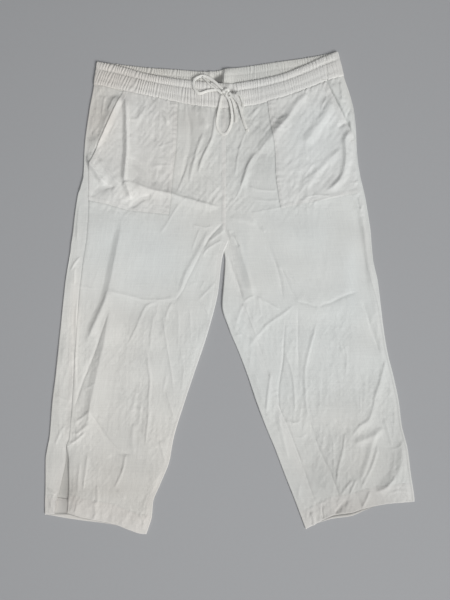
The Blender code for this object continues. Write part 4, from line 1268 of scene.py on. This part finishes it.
def pocket_lift(leg, x, y, from_mouth, past_mouth):
    """How far the pocket's patch stands off the panel: pressed down where it is sewn, open at its mouth."""
    inner, lower = pocket_edge_lines(leg)
    from_edge = from_pocket_edge(leg, x, y)
    near_tack = np.clip(1 - np.abs(y - leg.pocket.mouth_top[1]) / 26.0, 0.0, 1.0)
    gape = MOUTH_GAPE * mound(from_mouth, past_mouth, (0.0, 0.0), (MOUTH_EASE, MOUTH_EASE)) * (1 - near_tack)
    hem = 0.35 * ramp(from_mouth, MOUTH_HEM + 0.8, -1.6) * (past_mouth < MOUTH_END)
    hem = hem - 0.3 * bell(from_mouth - MOUTH_HEM, 1.3) * (past_mouth < MOUTH_END)
    rim = -0.35 * bell(from_edge, 1.4) - 0.35 * bell(from_edge - STITCH_INSET, 1.1)
    rim = rim + 0.3 * ramp(from_edge, POCKET_ALLOWANCE, -LAYER_EDGE)
    ripples = puckers(inner, x, y, 9.5, 18.0, 0.34, 2.0 + leg.out)
    ripples = ripples + puckers(lower, x, y, 13.0, 8.0, 0.24, 5.0 + leg.out)
    slant = 0.9 if leg.out > 0 else -0.7
    silk = 0.14 * waves(x, y, 12.0, 21, slant, 2.6) * ramp(from_edge, 0.0, 10.0)
    return np.maximum(POCKET_LIFT + gape + hem + rim + ripples + silk, 0.8)


def pocket_grid(leg, settings):
    """The patch's points, row by row from the waist seam to its lower edge, mouth to inner edge."""
    (top_x, top_y), (low_x, low_y) = leg.pocket.mouth_top, leg.pocket.mouth_low

    def outer_x(y):
        side = leg.x("side", y) - leg.out * SEAM_GAP
        mouth = top_x + (low_x - top_x) * (top_y - y) / (top_y - low_y)
        return leg.out * np.minimum(leg.out * side, leg.out * mouth)

    part, share = np.meshgrid(np.linspace(0.0, 1.0, SIDE_COLUMNS), np.linspace(0.0, 1.0, POCKET_ROWS))
    y = 300.0 + 0.0 * share
    for _ in range(2 * SETTLING):
        x = outer_x(y) + (leg.x("guide", y) - outer_x(y)) * part
        top, foot = leg.front_top(x) - 0.4, leg.pocket_foot(x)
        y = top + (foot - top) * share
    from_mouth = np.abs(beyond_mouth(leg, x, y))
    past_mouth = np.maximum(0.0, low_y - y)
    z = lie(leg, x, y, settings) - mouth_relief(leg, x, y) + pocket_lift(leg, x, y, from_mouth, past_mouth)
    return np.dstack((x, y, z)), from_mouth, past_mouth


def make_pocket(leg, settings, material):
    """The patch pocket, its slanted mouth open and its inner and lower edges sewn down."""
    rows, from_mouth, past_mouth = pocket_grid(leg, settings)
    from_edge = from_pocket_edge(leg, rows[..., 0], rows[..., 1])
    doubled = np.maximum(0.72, ramp(from_edge, POCKET_ALLOWANCE, -LAYER_EDGE))
    doubled = np.maximum(doubled, ramp(from_mouth, MOUTH_HEM, -LAYER_EDGE) * (past_mouth < MOUTH_END))
    piece = cloth_mesh(
        leg.name + "_pocket", rows, grain(leg, rows), doubled, material, turn=leg.out, wall=POCKET_WALL)
    wear(piece, "cloth", "pocket_" + leg.name)


# ---- Waistband ----

# Across the band's height: the share of it, how far the casing swells there and how high a gather stands.
Casing = namedtuple("Casing", "share swell gather")

CASING = table(
    Casing,
    (0.0, -1.0, 0.3),
    (0.06, 0.3, 0.7),
    (0.17, 1.0, 0.9),
    (0.28, 0.7, 0.75),
    (0.42, 1.4, 1.0),
    (0.58, 1.0, 1.0),
    (0.655, 0.2, 0.8),
    (0.695, -1.2, 0.5),
    (0.74, 0.2, 0.8),
    (0.85, 1.1, 1.0),
    (0.96, 0.5, 0.9),
    (1.0, -0.4, 0.7),
)
GROOVE_SHARE = 0.695
BAND_ROWS = 26
BAND_END_TURNS = 8
STEPS_A_GATHER = 9
# The upright row of stitches near the band's left end: its x at the top and at the seam.
BAND_LINE = (193.0, 197.5)


def gather_relief(lane, share, seed):
    """Height of the gathers at a place on the band: leaning ridges and close valleys, no two alike."""
    above = ramp(share, GROOVE_SHARE, 0.03)
    drift = 0.35 * np.sin(lane * 0.61 + seed) + 0.2 * np.sin(lane * 1.37 + 2 * seed)
    drift = drift + 0.8 * np.sin(lane * 0.23)
    swing = (0.35 * np.sin(lane * 0.83 + 1.3 * seed) + 0.3 * np.sin(lane * 0.37)) * (share - 0.4)
    lean = 2.6 * smooth_step(1.0 - lane / 52.0) * (share - 0.5)
    shift = above * (0.5 * np.sin(lane * 0.47 + 0.8) + 0.2)
    phase = lane + drift + swing + shift - lean
    ridge = 0.3 * np.abs(np.cos(math.pi * phase)) + 0.35 * (1 + np.cos(2 * math.pi * phase))
    size = 0.62 + 0.25 * smooth_step(1.0 - lane / 50.0) + 0.22 * np.sin(lane * 1.07 + seed + 2.5 * share)
    size = size + 0.2 * np.sin(lane * 0.31 + 3 * seed + 4 * above)
    size = size * (1 - 0.35 * ramp(lane, 42.0, 12.0) * ramp(share, 0.66, -0.1))
    fine = 0.18 * np.cos(2 * math.pi * phase * 1.7 + 1.0 + 2 * np.sin(lane * 0.21) + 3 * share)
    return size * (ridge - 0.5) + fine * (0.35 + 0.65 * np.sin(lane * 0.53) ** 2)


def front_band_creases(x, y):
    """The front band's own dents: the hollow between the buttonholes, and the upright row of stitches."""
    hollow = -3.2 * mound(x - 8.0 + 0.10 * (y - 405), y, (0.0, 409.0), (3.8, 10.0))
    hollow = hollow + 1.2 * mound(x, y, (0.0, 409.0), (4.5, 12.0))
    fold = -1.4 * mound(x - 15.5 + 0.2 * (y - 405), y, (0.0, 404.0), (2.4, 13.0))
    line = BAND_LINE[1] + (BAND_LINE[0] - BAND_LINE[1]) * ((y - 423.0) / 52.0)
    return hollow + fold - 1.1 * bell(x - line, 1.8)


def deep_hollow(x, y):
    """How deep in the hollow behind the bow a place on the back band is, from 0 to 1. It sinks the band there
    and gives it its painted shadow.
    """
    across = ramp(x, -34.0, 8.0) * ramp(x, -9.0, -6.0)
    return 0.85 * across * smooth_step((441.0 - y + 0.5 * (x + 21.0)) / 9.0)


def back_band_creases(x, y):
    """The back band's fold behind the bow: a deep hollow between two puffs."""
    left_puff = 5.2 * ramp(x, -13.0, 6.0) * bell(np.maximum(0.0, x + 5.0), 16.0)
    right_puff = 2.2 * ramp(x, -29.0, -6.0) * bell(np.maximum(0.0, -38.0 - x), 14.0)
    return -2.0 * deep_hollow(x, y) + (left_puff + right_puff) * bell(y - 438.0, 15.0)


def band_edges(part, inset, top_column):
    """Places on the band's seam and on its top, `part` of the way from right to left."""
    seam_x, top_x = (
        np.interp(part, (0, 1), (right + inset, left - inset))
        for right, left in (BAND_ENDS_AT_SEAM, BAND_ENDS_AT_TOP))
    seam_y = back_seam(seam_x) if top_column == "back_top" else read(WAIST, "x", "seam", seam_x)
    return seam_x, seam_y, top_x, read(WAIST, "x", top_column, top_x)


def band_grid(settings, top_column):
    """A casing: up its outer face, over its top and down its inner face, its ends turned round the folds."""
    wall = settings.band_wall / MM
    outer = WAIST_RADIUS + wall / 2
    front = top_column == "front_top"
    if front:
        inset, centre_z, face_radius, back_radius = outer, outer, outer, outer - wall
        seed, puff, creases, turn_count = 0.7, 1.0, front_band_creases, BAND_END_TURNS
    else:
        inset, centre_z, face_radius, back_radius = outer + 0.6, 0.0, wall, 0.05
        seed, puff, creases, turn_count = 2.9, 0.3, back_band_creases, 0
    count = settings.gathers
    parts = np.linspace(0.0, 1.0, count * STEPS_A_GATHER + 1)
    turns = np.linspace(-math.pi / 2, math.pi / 2, BAND_END_TURNS + 1)[:turn_count]

    def padded(values):
        return np.pad(values, turn_count, mode="edge")

    lean = np.concatenate((-np.cos(turns), np.zeros(len(parts)), np.cos(turns[::-1])))
    lift = np.concatenate((np.sin(turns), np.ones(len(parts)), np.sin(turns[::-1])))
    inside = padded(smooth_step(np.minimum(parts, 1 - parts) * count / 2.5))
    lane = padded(parts)
    seam_x, seam_y, top_x, top_y = (padded(values) for values in band_edges(parts, inset, top_column))

    def row(share, rise, radius, over=0.0):
        x = seam_x + (top_x - seam_x) * share
        y = seam_y + (top_y - seam_y) * share + over
        reach = radius + rise
        return np.column_stack((x + lean * reach, y, centre_z + lift * reach))

    rows = []
    for share in np.linspace(0.0, 1.0, BAND_ROWS):
        swell, height = (float(read(CASING, "share", column, share)) for column in ("swell", "gather"))
        relief = gather_relief(lane * count, share, seed)
        gathers = relief * height * (settings.gather_height / MM)
        rise = (swell * puff + gathers) * (0.25 + 0.75 * inside)
        rise = rise + creases(seam_x + (top_x - seam_x) * share, seam_y + (top_y - seam_y) * share)
        serration = relief * ramp(share, 0.9, 0.1) * inside
        rows.append(row(share, np.maximum(rise, -wall * 0.75), face_radius, serration))
    outer_top = rows[-1]
    inner_top = row(1.0, np.zeros(len(lean)), back_radius, -0.6)
    for turn in (0.35, 0.7, 1.0):
        mixed = outer_top * (1 - turn) + inner_top * turn
        mixed[:, 1] += 1.1 * math.sin(math.pi * min(turn, 0.999))
        rows.append(mixed)
    for share in (0.9, 0.75, 0.55, 0.3, 0.0):
        rows.append(row(share, np.zeros(len(lean)), back_radius))
    return np.array(rows)


def make_band(name, node, top_column, settings, material):
    """One half of the gathered casing."""
    rows = band_grid(settings, top_column)
    around = travel(rows)
    down = np.broadcast_to(travel(rows[:, 0])[:, None], around.shape)
    cut = np.dstack((around, down)).transpose(1, 0, 2)
    rows = rows.transpose(1, 0, 2)
    layers = np.ones(rows.shape[:2])
    # On the back band the hollow behind the bow takes the material's dark single-layer colour: a painted
    # shadow.
    if top_column == "back_top":
        layers = layers - deep_hollow(rows[..., 0], rows[..., 1])
    piece = cloth_mesh(name, rows, cut, layers, material, turn=-1, closed=True)
    wear(piece, "band", node)


# ---- Drawstring ----


def strap(name, line, half_width, half_thick, material, roll=0.0, closed=False):
    """A narrow strap along a line of points in millimetres, lying flat, with a soft ridge on each side."""
    line = np.asarray(line, float)
    count, sides = len(line), STRAP_SIDES
    ahead = np.roll(line, -1, axis=0) - np.roll(line, 1, axis=0)
    if not closed:
        ahead[0], ahead[-1] = line[1] - line[0], line[-1] - line[-2]
    ahead /= np.linalg.norm(ahead, axis=1, keepdims=True)
    side = np.cross(ahead, (0.0, 0.0, 1.0))
    side /= np.linalg.norm(side, axis=1, keepdims=True) + 1e-9
    up = np.cross(side, ahead)
    turn = roll * np.sin(np.linspace(0, 2 * math.pi, count))[:, None]
    side, up = side * np.cos(turn) + up * np.sin(turn), up * np.cos(turn) - side * np.sin(turn)
    angles = np.linspace(0, 2 * math.pi, sides, endpoint=False)
    shape_x = np.sign(np.cos(angles)) * np.abs(np.cos(angles)) ** 0.8 * half_width
    shape_z = np.sign(np.sin(angles)) * np.abs(np.sin(angles)) ** 0.9 * half_thick
    shape_z = shape_z * (0.82 + 0.36 * np.abs(np.cos(angles)) ** 2)
    slack = 1.0 + 0.07 * np.sin(np.arange(count) * 1.3) + 0.05 * np.sin(np.arange(count) * 0.57 + 1)
    rings = (line[:, None] + side[:, None] * shape_x[None, :, None] * slack[:, None, None]
             + up[:, None] * shape_z[None, :, None])
    faces = grid_faces(count, sides, closed=True)[:, ::-1].tolist()
    last = (count - 1) * sides
    if closed:
        faces += [[last + (c + 1) % sides, last + c, c, (c + 1) % sides] for c in range(sides)]
    else:
        faces += [list(range(sides)), [last + c for c in reversed(range(sides))]]
    girth = np.linspace(0, STRAP_GIRTH, sides)[None, :]
    cut = np.dstack(np.broadcast_arrays(girth, travel(line)[:, None])).reshape(-1, 2)
    points = to_world(rings.reshape(-1, 3)).tolist()
    piece = new_piece(name, points, faces, material, cut, doubled=np.ones(len(points)))
    work = bmesh.new()
    work.from_mesh(piece.data)
    bmesh.ops.recalc_face_normals(work, faces=work.faces[:])
    work.to_mesh(piece.data)
    work.free()
    return piece


def knot_line(centre, reach, steps):
    """A closed line that passes over and under itself three times, as a strap does in a tight knot."""
    t = np.linspace(0, 2 * math.pi, steps, endpoint=False)
    x = centre[0] + reach[0] * (np.sin(t) + 2 * np.sin(2 * t)) / 3
    y = centre[1] + reach[1] * (np.cos(t) - 2 * np.cos(2 * t)) / 3
    z = centre[2] - 0.4 - reach[2] * np.sin(3 * t)
    return np.column_stack((x, y, z))


def make_drawstring(settings, material):
    """The knots, the loops and the free ends of the bow."""
    half = settings.tie_width / MM / 2
    flat = half * TIE_FLATNESS
    bow_line = knot_line(KNOT_CENTRE, KNOT_REACH, 72)
    tip_line = knot_line(TIP_KNOT_CENTRE, TIP_KNOT_REACH, 48)
    return_line = curve_through(LOOP_RETURN, TIE_SPACING)
    knot = strap("bow_knot", bow_line, half * 0.85, half * 0.5, material, closed=True)
    wear(knot, "tie", "tie_knot")
    tip = strap("tip_knot", tip_line, 1.3, 0.9, material, closed=True)
    wear(tip, "tie", "tie_tip_knot")
    back = strap("loop_return", return_line, half * 0.72, flat, material, roll=0.6)
    wear(back, "tie")
    for node, route in TIE_ROUTES.items():
        line = curve_through(route, TIE_SPACING)
        piece = strap(node.replace("tie", "drawstring"), line, half, flat, material, roll=0.45)
        wear(piece, "tie", node)


# ---- Sewing ----


class Surface:
    """The upper side of some pieces, to lay stitches on."""

    def __init__(self, pieces):
        graph = bpy.context.evaluated_depsgraph_get()
        self.trees = [BVHTree.FromObject(piece, graph) for piece in pieces]

    def drop(self, point):
        """The highest point of the pieces over or under a point in millimetres, in metres."""
        start = Vector(to_world((point[0], point[1], 40.0)))
        hits = [tree.ray_cast(start, Vector((0, 0, -1)))[0] for tree in self.trees]
        hits = [hit for hit in hits if hit is not None]
        return max(hits, key=lambda hit: hit.z) if hits else None


def stitch_points(line, length, gap):
    """Ends of the stitches along a line in millimetres."""
    fine = curve_through(line, 0.5) if len(line) > 2 else np.linspace(line[0], line[-1], 200)
    starts = np.arange(gap, travel(fine)[-1] - length, length + gap)
    return list(zip(*(places_along(fine, at) for at in (starts, starts + length))))


def stitches(name, surface, runs, radius, material):
    """All the stitches of one kind as one mesh of small rounded threads that sink in at both ends."""
    verts, faces = [], []
    sides = STITCH_SIDES
    for start, end in runs:
        low, high = surface.drop(start), surface.drop(end)
        if low is None or high is None or (high - low).length > 3 * math.dist(start, end) * MM:
            continue
        ahead = (high - low).normalized()
        across = ahead.cross(Vector((0, 0, 1))).normalized()
        up = across.cross(ahead)
        first = len(verts)
        for part, thick, lift in STITCH_PROFILE:
            centre = low.lerp(high, part) + up * (lift * radius)
            for k in range(sides):
                angle = 2 * math.pi * k / sides
                verts.append(centre + (across * math.cos(angle) + up * math.sin(angle)) * radius * thick)
        faces += (grid_faces(len(STITCH_PROFILE), sides, closed=True) + first).tolist()
        faces.append([first + k for k in reversed(range(sides))])
        faces.append([len(verts) - sides + k for k in range(sides)])
    return new_piece(name, [tuple(v) for v in verts], faces, material)


def tack_runs(start, end, passes=24):
    """A bar tack: close stitches across a short bar from one place to another."""
    start, end = np.array(start, float), np.array(end, float)
    along = (end - start) / np.linalg.norm(end - start)
    across = np.array((-along[1], along[0])) * TACK_WIDTH / 2
    return [(start + (end - start) * t - across, start + (end - start) * t + across)
            for t in np.linspace(0, 1, passes)]


def pocket_stitch_lines(leg):
    """The rows of stitches inside the pocket's sewn edges and along its mouth."""
    inner, lower = pocket_edge_lines(leg)
    top, low, along = mouth_line(leg)
    inward = np.array((along[1], -along[0])) * MOUTH_HEM
    if inward[0] * leg.out > 0:
        inward = -inward
    mouth = np.array([top + along * 8 + inward, (top + low) / 2 + inward, low - along * 2 + inward])
    return inner[2:] + (leg.out * STITCH_INSET, 0.0), lower + (0.0, STITCH_INSET), mouth


def make_stitching(settings, panels, material):
    """Topstitching, hem rows, bar tacks and buttonholes, laid on the finished cloth."""
    surface = Surface(panels)
    length = settings.stitch_length / MM
    gap = 0.35 * length

    def sew(name, slot, runs, radius):
        wear(stitches(name, surface, runs, radius, material), slot)

    lines = []
    for leg in LEGS:
        lines += [*pocket_stitch_lines(leg), hem_line(leg, "front", HEM_DEPTH)[1:-1]]
    lines.append(seam_line(RIGHT, "side", *VENT_STITCHES, -VENT_INSET))
    lines.append(seam_line(RIGHT, "back_side", *VENT_STITCHES, VENT_INSET))
    rows = [run for line in lines for run in stitch_points(line, length, gap)]
    sew("topstitching", "cloth", rows, SEAM_THREAD)

    xs = np.linspace(-258.0, 214.0, 120)
    seam_y, top_y = read(WAIST, "x", "seam", xs), read(WAIST, "x", "front_top", xs)
    groove = np.column_stack((xs - 1.5, seam_y + (top_y - seam_y) * GROOVE_SHARE))
    upright = np.array(((BAND_LINE[1], 426), (195.2, 446), (BAND_LINE[0], 470)))
    band_rows = stitch_points(groove, length * 1.1, gap) + stitch_points(upright, length, gap)
    sew("band_stitching", "band", band_rows, BAND_THREAD)

    tacks = []
    for leg in LEGS:
        top, low, _ = mouth_line(leg)
        tacks += tack_runs(top + (-8, 1.5), top + (6, 1.5))
        tacks += tack_runs(low + (leg.out * 4, 4), low + (-leg.out * 12, 3))
    tacks += tack_runs((-328, -306), (-319, -306), 18)
    sew("bar_tacks", "cloth", tacks, TACK_THREAD)

    rims = []
    for hole in BUTTONHOLES:
        for turn in np.linspace(0, 2 * math.pi, 44, endpoint=False):
            ring = np.array((math.cos(turn), math.sin(turn)))
            rims.append((np.array(hole) + ring * (1.0, 4.6), np.array(hole) + ring * (2.3, 6.0)))
    sew("buttonholes", "band", rims, SEAM_THREAD)


# ---- Materials ----


class Nodes:
    """Short ways to add and join shader nodes."""

    def __init__(self, name):
        self.material = bpy.data.materials.new(name)
        self.material.use_nodes = True
        self.tree = self.material.node_tree
        self.shader = self.tree.nodes["Principled BSDF"]

    def join(self, node, inputs):
        """Links each input to its socket, or sets it where it is a value."""
        for key, value in inputs.items():
            if isinstance(value, bpy.types.NodeSocket):
                self.tree.links.new(value, node.inputs[key])
            else:
                node.inputs[key].default_value = value

    def add(self, kind, inputs=None, **options):
        node = self.tree.nodes.new("ShaderNode" + kind)
        for option, value in options.items():
            setattr(node, option, value)
        self.join(node, inputs or {})
        return node

    def math(self, operation, first, second=0.0, third=0.0):
        return self.add("Math", {0: first, 1: second, 2: third}, operation=operation).outputs[0]

    def scaled(self, value, factor, base):
        return self.math("MULTIPLY_ADD", value, factor, base)

    def mix(self, share, first, second):
        return self.add("Mix", {0: share, 6: first, 7: second}, data_type="RGBA").outputs[2]

    def object_place(self):
        return self.add("TexCoord").outputs["Object"]

    def attribute(self, name):
        return self.add("Attribute", attribute_name=name).outputs["Fac"]

    def noise(self, vector, scale, detail=2.0, roughness=0.5):
        options = {"Vector": vector, "Scale": scale, "Detail": detail, "Roughness": roughness}
        return self.add("TexNoise", options).outputs["Fac"]

    def stretched(self, vector, scale):
        return self.add("Mapping", {"Vector": vector, "Scale": scale}).outputs[0]

    def bump(self, height, distance, strength, below=None):
        options = {"Height": height, "Distance": distance, "Strength": strength}
        if below is not None:
            options["Normal"] = below
        return self.add("Bump", options).outputs[0]

    def finish(self, colour, roughness, normal, values):
        self.join(self.shader, {"Base Color": colour, "Roughness": roughness, "Normal": normal, **values})
        return self.material


def rgba(colour, factor=1.0):
    return (*(min(1.0, c * factor) for c in colour), 1.0)


def cloth_material(name, settings, full, single):
    """Crisp plain weave: slubbed threads, small crinkles, paler where it is doubled, uneven in warmth."""
    nodes = Nodes(name)
    cut = nodes.add("UVMap", uv_map="cut").outputs[0]
    place = nodes.object_place()
    split = nodes.add("SeparateXYZ", {0: cut})
    turns = 2 * math.pi / settings.thread_pitch
    weft, warp = (nodes.math("SINE", nodes.math("MULTIPLY", split.outputs[i], turns)) for i in (0, 1))
    weave = nodes.math("MULTIPLY", weft, warp)
    slub_down = nodes.noise(nodes.stretched(cut, (520.0, 20.0, 1.0)), scale=1.0)
    slub_across = nodes.noise(nodes.stretched(cut, (16.0, 440.0, 1.0)), scale=1.0)
    slub = nodes.math("ADD", slub_down, slub_across)
    crinkle = nodes.noise(nodes.stretched(cut, (1.0, 0.6, 1.0)), scale=70.0, detail=3.0, roughness=0.55)
    ridged = nodes.math("ABSOLUTE", nodes.math("SUBTRACT", crinkle, 0.5))
    drift = nodes.scaled(nodes.noise(place, scale=3.2), factor=1.2, base=-0.1)
    coolness = nodes.math("ADD", drift, nodes.math("MULTIPLY", nodes.attribute("cool"), 0.5))
    coolness = nodes.add("Clamp", {"Value": coolness}).outputs[0]

    def warm_to_cool(colour):
        warm = rgba((colour[0] * 1.015, colour[1] * 0.98, colour[2] * 0.95))
        cool = rgba((colour[0] * 0.985, colour[1] * 1.018, colour[2] * 1.04))
        return nodes.mix(coolness, warm, cool)

    layered = nodes.mix(nodes.attribute("doubled"), warm_to_cool(single), warm_to_cool(full))
    streaks = nodes.scaled(slub, factor=0.11, base=0.89)
    mottle_and_painted_shade = nodes.scaled(nodes.noise(place, scale=9.0, detail=3.0), factor=0.07, base=0.965)
    # The shade attribute darkens the colour: painted shade from the patches, the seam and pocket lines, the
    # vent and the hem, and painted light where it is negative.
    mottle_and_painted_shade = nodes.math("MULTIPLY", mottle_and_painted_shade, nodes.math("SUBTRACT", 1.0, nodes.attribute("shade")))
    threads = nodes.scaled(weave, factor=0.035, base=0.985)
    level = nodes.math("MULTIPLY", nodes.math("MULTIPLY", streaks, mottle_and_painted_shade), threads)
    shaded = nodes.add("VectorMath", {0: layered, 3: level}, operation="SCALE").outputs[0]
    normal = nodes.bump(ridged, distance=0.0016, strength=0.30)
    normal = nodes.bump(slub, distance=0.0004, strength=0.42, below=normal)
    normal = nodes.bump(weave, distance=0.00009, strength=0.55, below=normal)
    return nodes.finish(
        shaded, nodes.scaled(slub_down, factor=0.14, base=0.80), normal,
        {"Sheen Weight": 0.22, "Sheen Roughness": 0.5, "Specular IOR Level": 0.25})


def thread_material(settings):
    """Sewing thread: a tight twist with a faint lustre."""
    nodes = Nodes("sewing_thread")
    place = nodes.object_place()
    wound = {"Vector": place, "Scale": 900.0, "Distortion": 1.0}
    twist = nodes.add("TexWave", wound, bands_direction="DIAGONAL")
    spun = nodes.noise(place, scale=1200.0)
    colour = nodes.mix(spun, rgba(settings.thread_colour, 0.93), rgba(settings.thread_colour, 1.05))
    normal = nodes.bump(twist.outputs["Fac"], distance=0.0001, strength=0.5)
    return nodes.finish(colour, nodes.scaled(spun, factor=0.2, base=0.5), normal, {"Sheen Weight": 0.1})


def floor_material(settings):
    """A plain pale floor with hardly any grain."""
    nodes = Nodes("pale_floor")
    speckle = nodes.noise(nodes.object_place(), scale=160.0)
    colour = nodes.mix(speckle, rgba(settings.floor_colour, 0.985), rgba(settings.floor_colour, 1.015))
    normal = nodes.bump(speckle, distance=0.0002, strength=0.1)
    roughness = nodes.scaled(speckle, factor=0.05, base=0.85)
    return nodes.finish(colour, roughness, normal, {"Specular IOR Level": 0.2})


def woven_cloth(settings):
    """The garment's cloth, made once."""
    name = "woven_cloth"
    ready = bpy.data.materials.get(name)
    return ready or cloth_material(name, settings, settings.cloth_colour, settings.single_colour)


# ---- Stage ----

VIEW_MIDDLE = (-7.0, -14.0, 4.0)
VIEW_HEIGHT = 1.2
SENSOR = 36.0
LENS = 30.0
FLOOR_SIZE = 14.0
ROOM_COLOUR = (0.93, 0.96, 1.0, 1.0)
ROOM_STRENGTH = 0.14
# The square lights, which face the garment's middle: name, place and size in metres, and power in watts.
LIGHTS = (("key", (4.54, -5.05, 5.90), 3.8, 645.0), ("fill", (-0.1, 0.0, 1.5), 1.0, 4.4))


def make_stage(settings):
    """The floor, the lights, and a camera that looks straight down."""
    scene = bpy.context.scene
    lens = bpy.data.cameras.new("overhead_camera")
    lens.sensor_width = SENSOR
    lens.lens = LENS
    lens.clip_start = 0.01
    camera = bpy.data.objects.new("overhead_camera", lens)
    x, y, z = to_world(VIEW_MIDDLE)
    camera.location = (x, y, z + VIEW_HEIGHT * LENS / SENSOR)
    scene.collection.objects.link(camera)
    scene.camera = camera
    bpy.ops.mesh.primitive_plane_add(size=FLOOR_SIZE, location=(0.0, 0.0, 0.0))
    floor = bpy.context.active_object
    floor.name = "floor"
    floor.data.materials.append(floor_material(settings))
    for name, place, size, power in LIGHTS:
        light = bpy.data.lights.new(name, "AREA")
        light.shape = "SQUARE"
        light.size = size
        light.energy = power
        lamp = bpy.data.objects.new(name, light)
        lamp.location = place
        lamp.rotation_euler = (Vector() - Vector(place)).to_track_quat("-Z", "Y").to_euler()
        scene.collection.objects.link(lamp)
    world = bpy.data.worlds.new("soft_room")
    world.use_nodes = True
    background = world.node_tree.nodes["Background"]
    background.inputs["Color"].default_value = ROOM_COLOUR
    background.inputs["Strength"].default_value = ROOM_STRENGTH
    scene.world = world
    scene.view_settings.view_transform = "Standard"


# ---- Operators ----


class CAPRI_OT_stage(bpy.types.Operator):
    """Make the floor, the lights and the camera over the garment"""

    bl_idname = "capri.stage"
    bl_label = "Stage"

    def execute(self, context):
        make_stage(context.scene.capri)
        return {"FINISHED"}


class CAPRI_OT_drawstring(bpy.types.Operator):
    """Make the bow: loops, free ends, slack and knots"""

    bl_idname = "capri.drawstring"
    bl_label = "Drawstring"

    def execute(self, context):
        settings = context.scene.capri
        colour = settings.tie_colour
        make_drawstring(settings, cloth_material("tie_cloth", settings, colour, colour))
        return {"FINISHED"}


class CAPRI_OT_panels(bpy.types.Operator):
    """Make the back and front panels and the pockets on them"""

    bl_idname = "capri.panels"
    bl_label = "Panels and pockets"

    def execute(self, context):
        settings = context.scene.capri
        for leg in LEGS:
            for make in (make_back, make_front, make_pocket):
                make(leg, settings, woven_cloth(settings))
        return {"FINISHED"}


class CAPRI_OT_waistband(bpy.types.Operator):
    """Make the gathered casing, front and back"""

    bl_idname = "capri.waistband"
    bl_label = "Waistband"

    def execute(self, context):
        settings = context.scene.capri
        colour = settings.inside_colour
        # The band's inside: its single-layer colour, a fifth of the band's, is the painted shadow in the
        # hollow behind the bow.
        inside = cloth_material("band_inside", settings, colour, [0.2 * part for part in colour])
        make_band("back_band", "waistband_back", "back_top", settings, inside)
        make_band("front_band", "waistband_front", "front_top", settings, woven_cloth(settings))
        return {"FINISHED"}


class CAPRI_OT_stitching(bpy.types.Operator):
    """Lay topstitching, hem rows, bar tacks and buttonholes on the cloth"""

    bl_idname = "capri.stitching"
    bl_label = "Stitching"

    def execute(self, context):
        settings = context.scene.capri
        names = ["front_band"]
        for leg in LEGS:
            names += [leg.name + part for part in ("_front_panel", "_back_panel", "_pocket")]
        panels = [bpy.data.objects[name] for name in names]
        make_stitching(settings, panels, thread_material(settings))
        return {"FINISHED"}


class CAPRI_PT_sidebar(bpy.types.Panel):
    """Lists the garment's settings and the buttons that make its pieces"""

    bl_label = "Capri Pants"
    bl_idname = "CAPRI_PT_sidebar"
    bl_space_type = "VIEW_3D"
    bl_region_type = "UI"
    bl_category = "Capri Pants"

    def draw(self, context):
        settings = context.scene.capri
        for name in CapriSettings.__annotations__:
            self.layout.prop(settings, name)
        for operator in OPERATORS:
            self.layout.operator(operator.bl_idname)


OPERATORS = (CAPRI_OT_stage, CAPRI_OT_drawstring, CAPRI_OT_panels, CAPRI_OT_waistband, CAPRI_OT_stitching)
CLASSES = (CapriSettings, *OPERATORS, CAPRI_PT_sidebar)


def register():
    for item in CLASSES:
        bpy.utils.register_class(item)
    bpy.types.Scene.capri = PointerProperty(type=CapriSettings)


def unregister():
    del bpy.types.Scene.capri
    for item in reversed(CLASSES):
        bpy.utils.unregister_class(item)


def main():
    register()
    bpy.ops.capri.stage()
    bpy.ops.capri.drawstring()
    bpy.ops.capri.panels()
    bpy.ops.capri.waistband()
    bpy.ops.capri.stitching()


if __name__ == "__main__":
    main()
